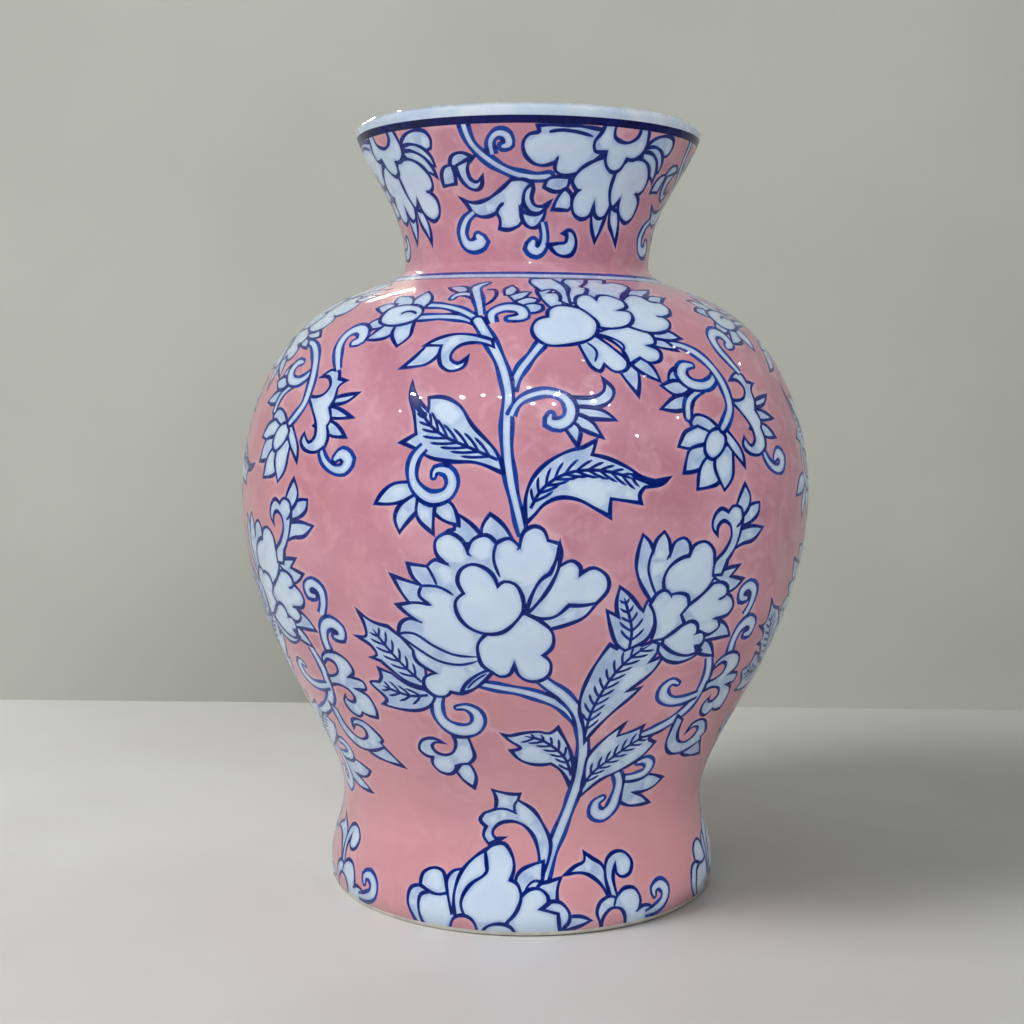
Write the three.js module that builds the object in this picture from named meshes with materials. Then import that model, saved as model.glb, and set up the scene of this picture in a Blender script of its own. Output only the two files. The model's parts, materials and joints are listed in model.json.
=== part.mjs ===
// A baluster vase of glazed porcelain: a low flared foot, a round belly, a sloping shoulder,
// a short trumpet neck and a rolled rim. Millimetres, +Z up, origin at the centre of the foot.
//
// The pot is built up the way a potter builds one of this size: thrown sections with stepped
// lap joints, stuck together with slip before firing. Each section is one mesh here, and the
// slip is the narrow gap that the joints leave.

import * as THREE from 'three';

// Driving dimensions: the outside of the pot, from the table up.
const height = 300;
const footRadius = 78.2;
const footSwellHeight = 8;
const waistRadius = 73.1;
const waistHeight = 36;
const bellyRadius = 113;
const bellyHeight = 157.5;
const shoulderRadius = 70.8;
const shoulderHeight = 233.8;
const shoulderSlope = THREE.MathUtils.degToRad(23);
const neckRadius = 48.4;
const neckHeight = 246;
const rimRadius = 68.3;
const rimLean = THREE.MathUtils.degToRad(18);

// The clay itself.
const wall = 5;
const edgeRound = 1.2;
const footInnerRadius = 71;
const floorHeight = 15;
const basePlateThickness = 5;

// The joints between sections: the lower section's tongue stands up inside the upper one.
const lap = 4;
const slip = 0.3;
const rimJointHeight = 285;

// How finely the round shapes are cut into flat faces.
const segmentsAround = 56;
const beadSteps = 5;

const glazeColour = { pink: 0xc98fa2, white: 0xc3d2e6 };

function point(radius, z) {
  return new THREE.Vector2(radius, z);
}

function along(start, angle, distance) {
  return point(start.x + distance * Math.cos(angle), start.y + distance * Math.sin(angle));
}

// The wall ends in a bead, a half circle as wide as the wall and tilted with it.
const beadRadius = wall / 2;
const beadCentre = point(rimRadius - beadRadius, height - beadRadius);
const beadStart = along(beadCentre, -rimLean, beadRadius);

// The outline passes through these points. At each it has the heading given, and keeps to that
// heading for about the distance behind it and ahead of it.
const upright = Math.PI / 2;
const inward = Math.PI - shoulderSlope;
const stations = [
  { at: point(footRadius, footSwellHeight), heading: upright, ahead: 11 },
  { at: point(waistRadius, waistHeight), heading: upright, behind: 12, ahead: 27, steps: 5 },
  { at: point(bellyRadius, bellyHeight), heading: upright, behind: 60, ahead: 21, steps: 8 },
  { at: point(shoulderRadius, shoulderHeight), heading: inward, behind: 37, ahead: 12, steps: 8 },
  { at: point(neckRadius, neckHeight), heading: upright, behind: 5, ahead: 23, steps: 4 },
  { at: beadStart, heading: upright - rimLean, behind: 16, steps: 6 },
];

// One row of the wall: a point on the outside, and the point straight through the clay from it.
function wallRow(curve, t) {
  const tangent = curve.getTangent(t);
  const onOutside = curve.getPoint(t);
  const onInside = point(onOutside.x - wall * tangent.y, onOutside.y + wall * tangent.x);
  return { onOutside, onInside };
}

function wallRows(from, to) {
  const leave = along(from.at, from.heading, from.ahead);
  const arrive = along(to.at, to.heading, -to.behind);
  const curve = new THREE.CubicBezierCurve(from.at, leave, arrive, to.at);
  return Array.from({ length: to.steps }, (_, i) => wallRow(curve, (i + 1) / to.steps));
}

const foot = { onOutside: stations[0].at, onInside: point(footRadius - wall, footSwellHeight) };
const outline = [foot, ...stations.slice(1).flatMap((to, i) => wallRows(stations[i], to))];
const outside = outline.map((row) => row.onOutside);
const inside = outline.map((row) => row.onInside);

// The radius of one side of the wall at a height.
function radiusAt(side, z) {
  const above = Math.max(1, side.findIndex((p) => p.y >= z));
  const [a, b] = [side[above - 1], side[above]];
  return THREE.MathUtils.mapLinear(z, a.y, b.y, a.x, b.x);
}

// The part of one side of the wall between two heights, ends included.
function between(side, low, high) {
  const middle = side.filter((p) => p.y > low + slip && p.y < high - slip);
  return [point(radiusAt(side, low), low), ...middle, point(radiusAt(side, high), high)];
}

// The middle of the wall at a joint, where the tongue of one section meets the skirt of the next.
function jointRadius(z) {
  return (radiusAt(outside, z) + radiusAt(inside, z + lap)) / 2;
}

// The top of a section, from its outside edge to its inside edge.
function tongue(z) {
  const radius = jointRadius(z) - slip / 2;
  return [point(radius, z - slip / 2), point(radius, z + lap - slip / 2)];
}

// The bottom of a section, from its inside edge to its outside edge.
function skirt(z) {
  const radius = jointRadius(z) + slip / 2;
  return [point(radius, z + lap + slip / 2), point(radius, z + slip / 2)];
}

function section(name, profile, colour, roughness) {
  const geometry = new THREE.LatheGeometry(profile, segmentsAround);
  geometry.rotateX(upright);
  const material = new THREE.MeshStandardMaterial({ color: colour, roughness, metalness: 0 });
  const mesh = new THREE.Mesh(geometry, material);
  mesh.name = name;
  return mesh;
}

function closed(points) {
  return [...points, points[0]];
}

// A plain length of wall between two joints.
function wallSection(name, lowJoint, highJoint) {
  const profile = [
    ...between(outside, lowJoint + slip / 2, highJoint - slip / 2),
    ...tongue(highJoint),
    ...between(inside, lowJoint + lap + slip / 2, highJoint + lap - slip / 2).reverse(),
    ...skirt(lowJoint),
  ];
  return section(name, closed(profile), glazeColour.pink, 0.15);
}

// The foot stands on a flat ring and has a ledge inside, which the base plate is set up against.
function footRing() {
  const ledgeRadius = waistRadius - wall;
  const top = waistHeight;
  const profile = [
    point(footInnerRadius + edgeRound, 0),
    point(footRadius - 2 * edgeRound, 0),
    point(footRadius - edgeRound, edgeRound / 3),
    point(footRadius - edgeRound / 3, edgeRound),
    ...between(outside, footSwellHeight, top - slip / 2),
    ...tongue(top),
    point(radiusAt(inside, top + lap - slip / 2), top + lap - slip / 2),
    point(ledgeRadius, top),
    point(ledgeRadius, floorHeight),
    point(footInnerRadius, floorHeight),
    point(footInnerRadius, edgeRound),
  ];
  return section('foot_ring', closed(profile), glazeColour.pink, 0.15);
}

function basePlate() {
  const radius = footInnerRadius - slip;
  const top = floorHeight - slip;
  const bottom = top - basePlateThickness;
  const profile = [
    point(0, bottom),
    point(radius - edgeRound, bottom),
    point(radius, bottom + edgeRound),
    point(radius, top),
    point(0, top),
  ];
  return section('base_plate', profile, glazeColour.white, 0.2);
}

function mouthRim() {
  const bead = Array.from({ length: beadSteps }, (_, i) => {
    return along(beadCentre, (Math.PI * (i + 1)) / beadSteps - rimLean, beadRadius);
  });
  const beadEnd = bead.pop();
  const profile = [
    ...between(outside, rimJointHeight + slip / 2, beadStart.y),
    ...bead,
    ...between(inside, rimJointHeight + lap + slip / 2, beadEnd.y).reverse(),
    ...skirt(rimJointHeight),
  ];
  return section('mouth_rim', closed(profile), glazeColour.white, 0.12);
}

const group = new THREE.Group();
group.add(footRing());
group.add(basePlate());
group.add(wallSection('belly', waistHeight, bellyHeight));
group.add(wallSection('shoulder', bellyHeight, neckHeight));
group.add(wallSection('neck', neckHeight, rimJointHeight));
group.add(mouthRim());

export default group;
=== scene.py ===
"""Looks for the porcelain vase: a pink ground with a peony scroll in white enamel and cobalt line.

The pot is six pieces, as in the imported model. Each gets a finer skin of the same shape, whose faces
follow the painted outlines, so that every petal and stem has a clean edge. The painting is drawn
once on a quarter of the pot, in degrees round it and millimetres up its wall, and repeats four times.
"""

import json
import math

import bpy
import numpy as np
from mathutils import Matrix, Vector
from mathutils.geometry import delaunay_2d_cdt
from mathutils.kdtree import KDTree

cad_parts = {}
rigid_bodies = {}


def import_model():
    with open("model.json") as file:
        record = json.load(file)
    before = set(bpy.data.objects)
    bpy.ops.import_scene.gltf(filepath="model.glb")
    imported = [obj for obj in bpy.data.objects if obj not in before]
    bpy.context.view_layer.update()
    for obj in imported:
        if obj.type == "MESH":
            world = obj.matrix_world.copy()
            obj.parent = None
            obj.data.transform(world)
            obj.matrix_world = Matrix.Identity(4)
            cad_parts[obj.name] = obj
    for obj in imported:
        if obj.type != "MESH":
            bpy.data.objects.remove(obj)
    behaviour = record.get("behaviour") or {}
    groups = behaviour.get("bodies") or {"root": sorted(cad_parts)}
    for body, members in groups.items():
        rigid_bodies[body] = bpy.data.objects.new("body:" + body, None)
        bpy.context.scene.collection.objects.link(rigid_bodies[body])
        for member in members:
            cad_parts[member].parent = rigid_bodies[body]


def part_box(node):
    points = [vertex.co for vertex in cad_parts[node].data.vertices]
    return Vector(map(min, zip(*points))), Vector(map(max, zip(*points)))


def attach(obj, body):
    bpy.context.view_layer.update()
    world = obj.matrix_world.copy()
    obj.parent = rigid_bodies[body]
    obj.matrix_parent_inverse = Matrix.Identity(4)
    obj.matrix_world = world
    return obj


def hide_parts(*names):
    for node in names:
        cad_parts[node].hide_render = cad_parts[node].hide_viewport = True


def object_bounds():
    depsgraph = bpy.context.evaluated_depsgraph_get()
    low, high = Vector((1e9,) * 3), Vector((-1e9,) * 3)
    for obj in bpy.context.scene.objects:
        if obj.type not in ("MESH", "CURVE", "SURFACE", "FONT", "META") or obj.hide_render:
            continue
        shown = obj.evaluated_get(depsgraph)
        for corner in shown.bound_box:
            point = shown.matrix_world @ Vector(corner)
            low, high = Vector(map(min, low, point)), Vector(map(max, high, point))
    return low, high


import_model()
cad_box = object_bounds()

# ---------------------------------------------------------------------------------------------
# The shape of the pot, in millimetres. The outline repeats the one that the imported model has.

MM = 0.001
height = cad_box[1].z / MM
belly_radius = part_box("belly")[1].x / MM
foot_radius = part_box("foot_ring")[1].x / MM
rim_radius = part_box("mouth_rim")[1].x / MM

foot_swell_height = 8
waist_radius = 73.1
waist_height = 36
belly_height = 157.5
shoulder_radius = 70.8
shoulder_height = 233.8
shoulder_slope = math.radians(23)
neck_radius = 48.4
neck_height = 246
rim_lean = math.radians(18)
wall = 5
bead_radius = wall / 2
bead_steps = 24
outline_steps = 60
lap = 4
foot_inner_radius = 71
floor_height = 15
foot_edge = [(75.8, 0), (77, 0.4), (77.8, 1.2)]
seam_heights = [waist_height, belly_height, neck_height, 285]

UP = math.pi / 2
bead_centre = np.array([rim_radius - bead_radius, height - bead_radius])
bead_start = bead_centre + bead_radius * np.array([math.cos(rim_lean), -math.sin(rim_lean)])
# Each station: the point, the heading there, and how long the line keeps to it behind and ahead.
stations = [
    ((foot_radius, foot_swell_height), UP, 0, 11),
    ((waist_radius, waist_height), UP, 12, 27),
    ((belly_radius, belly_height), UP, 60, 21),
    ((shoulder_radius, shoulder_height), math.pi - shoulder_slope, 37, 12),
    ((neck_radius, neck_height), UP, 5, 23),
    (tuple(bead_start), UP - rim_lean, 16, 0),
]


def heading(angle):
    return np.array([math.cos(angle), math.sin(angle)])


def stretch(start, end):
    """One smooth stretch of the outline between two stations, without its first point."""
    a, d = np.array(start[0]), np.array(end[0])
    b = a + start[3] * heading(start[1])
    c = d - end[2] * heading(end[1])
    t = np.linspace(0, 1, outline_steps + 1)[1:, None]
    return a * (1 - t) ** 3 + 3 * b * t * (1 - t) ** 2 + 3 * c * t**2 * (1 - t) + d * t**3


def bead(start, end, count):
    """Points round the rolled rim, between two angles, without the first."""
    angles = np.linspace(start, end, count + 1)[1:]
    return np.array([bead_centre + bead_radius * heading(angle) for angle in angles])


outside = np.vstack(
    [foot_edge[1:], [stations[0][0]]]
    + [stretch(a, b) for a, b in zip(stations, stations[1:])]
    + [bead(-rim_lean, UP, bead_steps)]
)
# The painting's own height: the distance up the wall, measured from just under the foot's edge.
run = 0.4 + np.concatenate([[0], np.cumsum(np.linalg.norm(np.diff(outside, axis=0), axis=1))])
slopes = np.gradient(outside, run, axis=0)
slopes /= np.linalg.norm(slopes, axis=1)[:, None]


def radius_at(s):
    return np.interp(s, run, outside[:, 0])


def height_at(s):
    return np.interp(s, run, outside[:, 1])


def run_at(z):
    return float(np.interp(z, outside[:, 1], run))


def on_wall(x, s):
    """The place on the pot, in millimetres, of x degrees round and s up the wall, and its normal."""
    around = np.radians(x)
    r, z = radius_at(s), height_at(s)
    sin, cos = np.sin(around), np.cos(around)
    out, up = np.interp(s, run, slopes[:, 1]), -np.interp(s, run, slopes[:, 0])
    place = np.stack([r * sin, -r * cos, z], axis=-1)
    normal = np.stack([out * sin, -out * cos, up], axis=-1)
    return place, normal / np.linalg.norm(normal, axis=-1)[..., None]


# ---------------------------------------------------------------------------------------------
# Drawing. A shape is a list of points (degrees, millimetres) with a smooth line through them; a
# point in square brackets is a sharp corner. Everything is painted in order, later over earlier.

GROUND, ENAMEL, INK, LIP, NAVY, SLATE, BISCUIT = range(7)
QUARTER = 90
HALF = QUARTER / 2
TURNS = (-QUARTER, 0, QUARTER)
SPARE = 2  # degrees that a mark may lie outside the quarter and still be cut into it
PLANE = 1.5  # millimetres for a degree on the flat sheet where the painting is cut into faces
STEP = 1.3  # how far apart the points of a drawn line are
LINE = 1.4  # width of a painted outline
NECK_LINE = 1.5  # and on the neck
BRUSH_SWELL = 16  # the usual distance between the thick places of an outline
BRUSH_CHANGE = 0.2  # and how much thicker than the line they are

painted = []  # what was painted, in order: (label, faces of the mark, as polygons on the sheet)
cuts = []  # lines on the sheet that the faces of the skin must follow
cores = []  # points along the middle of the painted lines


def spline(points, closed):
    """A smooth line through points that may carry a width as well, with none of them a corner."""
    p = np.array(points, float)
    if len(p) == 2:
        ends = [p[0] * 2 - p[1], p[1] * 2 - p[0]]
    elif closed:
        ends = [p[-1], p[1]]
        p = np.vstack([p, p[:1]])
    else:
        first = 2 * p[0] - p[1] + 0.5 * (p[0] - 2 * p[1] + p[2])
        last = 2 * p[-1] - p[-2] + 0.5 * (p[-1] - 2 * p[-2] + p[-3])
        ends = [first, last]
    p = np.vstack([ends[0], p, ends[1]])
    knots = np.concatenate([[0], np.cumsum(np.linalg.norm(np.diff(p[:, :2], axis=0), axis=1) ** 0.5)])
    line = []
    for i in range(1, len(p) - 2):
        k0, k1, k2, k3 = knots[i - 1 : i + 3]
        count = max(1, round(np.linalg.norm(p[i + 1, :2] - p[i, :2]) / STEP + 0.3))
        t = (k1 + (k2 - k1) * np.arange(count) / count)[:, None]
        a1 = ((k1 - t) * p[i - 1] + (t - k0) * p[i]) / (k1 - k0)
        a2 = ((k2 - t) * p[i] + (t - k1) * p[i + 1]) / (k2 - k1)
        a3 = ((k3 - t) * p[i + 1] + (t - k2) * p[i + 2]) / (k3 - k2)
        b1 = ((k2 - t) * a1 + (t - k0) * a2) / (k2 - k0)
        b2 = ((k3 - t) * a2 + (t - k1) * a3) / (k3 - k1)
        line.append(((k2 - t) * b1 + (t - k1) * b2) / (k2 - k1))
    if not closed:
        line.append(p[-2:-1])
    return np.vstack(line)


def trace(path, closed=False):
    """The points of a drawn line on the flat sheet."""
    corners = [i for i, point in enumerate(path) if isinstance(point, list)]
    flat = [(point[0] * PLANE, *point[1:]) for point in path]
    if closed and not corners:
        return spline(flat, True)
    if closed:
        first = corners[0]
        flat = flat[first:] + flat[: first + 1]
        corners = [i - first for i in corners] + [len(flat) - 1]
    else:
        corners = sorted({0, *corners, len(flat) - 1})
    runs = [spline(flat[a : b + 1], False)[:-1] for a, b in zip(corners, corners[1:])]
    return np.vstack(runs if closed else runs + [np.array(flat[-1:])])


def turns(line):
    """The sheets that a drawn line falls on: it is painted again a quarter turn away if it crosses."""
    low, high = line[:, 0].min() / PLANE, line[:, 0].max() / PLANE
    reach = HALF + SPARE
    return [turn for turn in TURNS if low + turn < reach and high + turn > -reach]


DAB_CORNERS = 10
DAB = np.array([heading(2 * math.pi * i / DAB_CORNERS) for i in range(DAB_CORNERS)])
MITRE = 0.36  # keeps the corners of a line from reaching too far out
TINY = 1e-9


def fill(line, label):
    for turn in turns(line):
        painted.append((label, [line[:, :2] + (turn * PLANE, 0)]))


def stroke(line, widths, label, closed=False, rounded=False):
    """Paints a line of the given widths, in millimetres on the pot, with pointed corners."""
    line = line[:, :2]
    widths = np.broadcast_to(widths, len(line))
    scale = np.stack([radius_at(line[:, 1]) * math.radians(1) / PLANE, np.ones(len(line))], axis=1)
    ahead = (np.roll(line, -1, axis=0) - line) * scale
    if not closed:
        ahead[-1] = ahead[-2]
    ahead /= np.maximum(np.linalg.norm(ahead, axis=1), TINY)[:, None]
    behind = np.roll(ahead, 1, axis=0)
    if not closed:
        behind[0] = ahead[0]
    side = np.stack([-(ahead + behind)[:, 1], (ahead + behind)[:, 0]], axis=1)
    side /= np.maximum(np.linalg.norm(side, axis=1), TINY)[:, None]
    square = np.stack([-ahead[:, 1], ahead[:, 0]], axis=1)
    reach = 1 / np.maximum(np.sum(side * square, axis=1), MITRE)
    offset = side * (reach * widths / 2)[:, None] / scale
    for turn in turns(line):
        middle = line + (turn * PLANE, 0)
        left, right = middle + offset, middle - offset
        if closed:
            left, right = (np.vstack([edge, edge[:1]]) for edge in (left, right))
        quads = np.stack([left[:-1], left[1:], right[1:], right[:-1]], axis=1)
        painted.append((label, list(quads)))
        cuts.extend([left, right])
        cores.append(middle)
        if rounded:
            dab = middle[-1] + DAB * widths[-1] / 2 / scale[-1]
            painted.append((label, [dab]))
            cuts.append(np.vstack([dab, dab[:1]]))


def pressed(line, width):
    """The width of an outline along its length, which swells and thins as the brush is pressed."""
    along = np.linspace(0, 2 * math.pi, len(line))
    swells = max(1, round(len(line) * STEP / BRUSH_SWELL))
    return width * (1 + BRUSH_CHANGE * np.sin(swells * along + line[0, 0]))


def petal(*path, line=LINE, label=ENAMEL):
    """A closed shape in white enamel with a cobalt outline."""
    edge = trace(path, closed=True)
    fill(edge, label)
    stroke(edge, pressed(edge, line), INK, closed=True)
    return edge


def tapered(count, start, end):
    """A brush stroke's width along its length: it starts and ends thin."""
    t = np.linspace(0, 1, count)
    return np.minimum(1, np.minimum(start + 5 * t, end + 5 * (1 - t)))


def ink(*path, line=1.1, start=0.6, end=0.35):
    """A single brush stroke in cobalt."""
    middle = trace(path)
    stroke(middle, line * tapered(len(middle), start, end), INK)


def band(*path, line=LINE):
    """A white stem or curl between two cobalt lines. Each point gives the white's width as well."""
    middle = trace(path)
    stroke(middle, middle[:, 2] + 2 * pressed(middle, line), INK, rounded=True)
    stroke(middle, middle[:, 2], ENAMEL, rounded=True)


def stem(width, *path, line=LINE):
    band(*[(x, s, width) for x, s in path], line=line)


def reach_to(edge, start, direction):
    """How far a straight line runs from a point inside an outline before it meets the outline."""
    a, b = edge, np.roll(edge, -1, axis=0)
    along, across = b - a, a - start
    det = direction[0] * -along[:, 1] + direction[1] * along[:, 0]
    det = np.where(np.abs(det) < TINY, TINY, det)
    distance = (across[:, 0] * -along[:, 1] + across[:, 1] * along[:, 0]) / det
    place = (direction[0] * across[:, 1] - direction[1] * across[:, 0]) / det
    hits = distance[(place >= 0) & (place <= 1) & (distance > 0.1)]
    return hits.min() if len(hits) else 0


MIDRIB = 1.2  # the widths of a leaf's midrib and its side veins
VEIN = 1.05
SHORTEST_VEIN = 1.4


def leaf(outline, midrib, spacing=3.6, longest=5.5, lean=0.68):
    """A toothed leaf with a midrib, and short side veins that lean towards its tip."""
    edge = petal(*outline)
    ink(*midrib, line=MIDRIB, start=1)
    rib = trace(midrib)
    travelled = np.concatenate([[0], np.cumsum(np.linalg.norm(np.diff(rib, axis=0), axis=1))])
    for at in np.arange(spacing * 0.8, travelled[-1] - spacing * 0.3, spacing):
        base = np.array([np.interp(at, travelled, rib[:, axis]) for axis in (0, 1)])
        ahead = np.array([np.interp(at + 1, travelled, rib[:, axis]) for axis in (0, 1)]) - base
        angle = math.atan2(ahead[1], ahead[0])
        for side in (lean, -lean):
            direction = heading(angle + side)
            length = min(longest, reach_to(edge, base, direction) * 0.72)
            if length > SHORTEST_VEIN:
                end = base + direction * length
                bend = (base + end) / 2 + heading(angle + side * 2.3) * length * 0.08
                vein = spline([base, bend, end], False)
                stroke(vein, VEIN * tapered(len(vein), 1, 0.35), INK)


def hoop(low, high, label):
    """A plain ring round the pot."""
    side = (HALF + SPARE) * PLANE
    painted.append((label, [np.array([(-side, low), (side, low), (side, high), (-side, high)])]))
    for s in (low, high):
        cuts.append(np.array([(x, s) for x in np.linspace(-side, side, 61)]))


# ---------------------------------------------------------------------------------------------
# The painting, motif by motif, from the foot up.


def foot_peony():
    """The half flower that rises from the edge of the foot."""
    petal([-26, -3], (-30.4, 3), (-32.6, 9), (-31.8, 14.5), [-28.9, 16.1], [-25.6, 14.4], [-20, 10],
          [-22, -3])
    petal([-28.9, 16.1], (-28.5, 20.7), (-25.4, 23.2), (-22.4, 22.4), [-20.7, 17], [-18, 10], [-24, 9],
          [-25.6, 14.4])
    petal([-25, -3], (-28.4, 4), (-29.1, 8.1), (-28.5, 12.7), [-25.6, 14.4], (-23, 14), [-18.6, 16],
          [-17, -3])
    petal([-20.8, 17], (-21, 20), (-19.4, 23), [-16.4, 24.2], [-15, 12], [-19, 8])
    petal([-5, 34.4], (-8.9, 32.8), (-14.1, 28), (-17.2, 22.4), (-18.5, 14.4), [-18, 7], [-12, 6],
          [-6, 22])
    petal([1, 14], (-1.5, 21.5), (-0.2, 24.7), (3.3, 27), [6.2, 28], (6, 23), [5, 16])
    petal([1, 14], (1.4, 18.4), (3.4, 21), [6, 20.6], [5, 14], line=1.1)
    petal([3, 14], (5, 19.8), (7.2, 20.7), [11, 21.9], (9.9, 17.8), [9.9, 12])
    petal([12, 7.6], (16.3, 7.4), [19.2, 5.4], (16.3, 3.8), [12, 2.4])
    petal([1, 5], [8, 13.6], (10.6, 13.2), (13, 9.3), (13.1, 5.8), (11, 2.4), [9, -3], [1, -3])
    petal([-6, -3], (-3, 8), (0, 15.4), (2.2, 18), (5, 18.2), (7.2, 15.6), [7.4, 13], [5.4, 11], [10, 9],
          [11, -3])
    ink([7.4, 13.6], (6.6, 11.8), (5.2, 10.8), start=1)
    petal([-8, -3], (-5, 4), (-1.5, 9.4), (0, 15.2), (-1, 19.8), [-2.9, 21.4], (-2, 25.8), (-2.7, 30.4),
          (-5, 34.4), (-8.2, 33.6), [-10.4, 31.2], (-9.9, 27), (-9.7, 24), [-11, 21.9], (-14.6, 18),
          (-16.4, 12), (-15, 6), [-12.4, -3])
    petal([-12, -3], (-9.4, 3.6), (-5.4, 5.2), (-2.4, 3.6), [-0.6, -3])
    petal([-20, -3], (-18.6, 5.6), (-15.8, 7.4), (-13, 5.6), [-11, -3], label=GROUND)


def foot_leaf():
    """The curled leaf that leans over the foot flower."""
    petal([5.4, 22], (7.8, 29), (8.3, 35), (6, 42), (3, 48), [-1.1, 52], [-0.6, 54.8], (-3.4, 54.8),
          [-7.8, 56.3], (-7, 52), [-7.4, 47.8], [-10.5, 46], (-11.9, 43), [-10.2, 40.5], (-11, 37),
          [-9.5, 34], [-5.4, 36.4], (-7.6, 36.4), (-8.4, 38.4), (-6.5, 41.8), (-3, 43), (0.5, 41.5),
          (3.5, 37), (5, 30), (5, 24))
    ink((-7.4, 47.8), (-4.5, 48), (-1.2, 46), start=1)
    ink((-1.8, 46.6), (-2.1, 49.4), (-1.2, 52), start=1)


def foot_scroll():
    """The leaf and the three curls beside the foot flower."""
    petal([25, 12], (24.6, 18), (24.1, 22.6), (23.3, 25.4), (20.6, 28), [18.2, 30.4], (18, 27.2),
          (15.4, 25.8), [12.4, 23], (17.2, 23.1), (20.2, 21.2), (22.8, 17.6), [24.6, 12])
    petal([25.2, 12.4], (24, 21), (25, 26.8), (27.6, 29.2), (31, 28.6), (33.2, 24.8), (32, 20.8),
          (29.4, 19.8), (27.8, 21.2), [27.5, 24.4], (26.4, 20), [27.2, 12.8])
    petal([22, -3], (22, 3.6), (20.9, 8.4), (22, 12), (25, 13.6), [26.7, 12.6], (29.4, 15.6), (32.8, 15),
          (34.6, 11), [34.4, 7], (36, 7.7), (38.9, 6.2), [40.5, -3])
    ink([34.6, 8], (34.2, 6.6), (33.2, 6), start=1, line=1.2)
    petal([23.2, -3], (22.6, 5), (25, 8.9), (28, 8.4), (29.6, 5), [29, -3], label=GROUND)
    ink([26.7, 12.6], (26.2, 10.4), (26, 9), start=1)
    band((36.6, 4.2, 1), (40.4, 5, 2.2), (43.6, 7.4, 3), (44.2, 11.4, 3.2), (42, 14, 2.6),
         (39.7, 12.8, 1.8), (39.8, 10.4, 0.8))


def main_stem():
    """The stem that carries the big peony, up from the foot flower."""
    band((-9, 105, 1.2), (-4, 103.4, 1.8), (0, 102, 2), (4, 99.6, 2.2), (9, 94.6, 2.4), (12.5, 87, 2.6))
    band((2, 110, 2.4), (5, 105, 2.8), (8.4, 100, 3), (12, 91.6, 3), (13.7, 82, 3), (14.7, 72, 3),
         (14.9, 62, 3), (13.8, 52, 2.8), (11.8, 42, 2.8), (9, 32.6, 2.6), (6.6, 23.5, 2.6),
         (5.8, 20, 2.4))


def stem_leaves():
    """The leaves either side of the big stem."""
    leaf(([-4.5, 82.8], (-3, 82.2), (0, 83.5), (3.5, 84.2), (6, 83.4), [7.8, 86], (8.8, 83), (10.5, 78),
          (12, 72), (12.8, 66), [13.2, 61], [12.3, 59], (11.3, 62), (9.5, 66), [7, 69], (4, 68.5),
          (1, 69.5), (-1, 71.5), [-2.7, 75.2], (-0.5, 76.5), (-3, 80)),
         ((12.6, 63), (10.5, 71), (7.5, 76.5), (4, 80.5), (0.5, 82)))
    leaf(([16, 53], (16, 62), (16, 71), (17.5, 76), (20, 81), [23.3, 86], (22.7, 83), [22.5, 80.6],
          (25.5, 82), [28.5, 84], (28.5, 81.5), (30, 80.6), [33.3, 80], (31.6, 77.5), [33.9, 75.2],
          (32.5, 71), (30, 67), (26, 63.5), (21, 60), (18, 56)),
         ((16.3, 57), (18.2, 63.5), (22.5, 70), (27, 76), (31, 79.5)))
    leaf(([14.5, 79], (13.5, 86), (12, 94), (12, 101), (13.3, 110), (14.8, 116), [16.3, 120.7],
          [17.8, 119], (19.5, 120.5), [23, 119.6], (25, 121), [27.7, 123.2], (27, 118), [25.6, 113],
          [28.2, 114.7], (26.8, 109), (25, 105.5), [22, 101], [24.8, 102], (23, 98), (20, 92.5),
          (17, 86)),
         ((14.2, 82), (14.7, 92), (16, 100), (18, 108), (21, 115), (25, 120)))
    leaf(([19.5, 118], (17.5, 121), (16, 127), [15, 133.5], [17.2, 131.3], (16.6, 136), [17, 142],
          (19, 139), [21.3, 134], [22, 132.8], (22.4, 135.5), [23.3, 138.5], (24.3, 134), (24.7, 128),
          (23.7, 122)),
         ((20.3, 119), (20.2, 126), (19, 133), (18, 138)))
    leaf(([-20.3, 101.5], (-24, 103.5), (-27, 107.5), [-29.3, 111.3], [-31.5, 112.2], (-29.9, 113.6),
          (-30.7, 117), [-33.9, 120.3], (-31.5, 120.8), (-31.3, 125.5), [-32.3, 130.5], (-29.5, 127),
          [-26, 125.6], [-24, 122.5], (-21, 118), (-19.5, 110)),
         ((-20.8, 104), (-24, 110), (-27, 117), (-29.5, 124)))
    leaf(([-18.5, 98], (-20, 94), (-23, 91.3), (-28, 90.8), [-32, 92], (-30.6, 94.3), [-31.5, 97],
          (-33.6, 101.3), [-31.2, 102], (-30.2, 104.5), [-30.3, 108], [-27.5, 106.5], (-24, 102.3),
          [-20.5, 101]),
         ((-20, 98.6), (-24, 97.5), (-27, 98.5), (-30.5, 100.5)))


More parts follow.
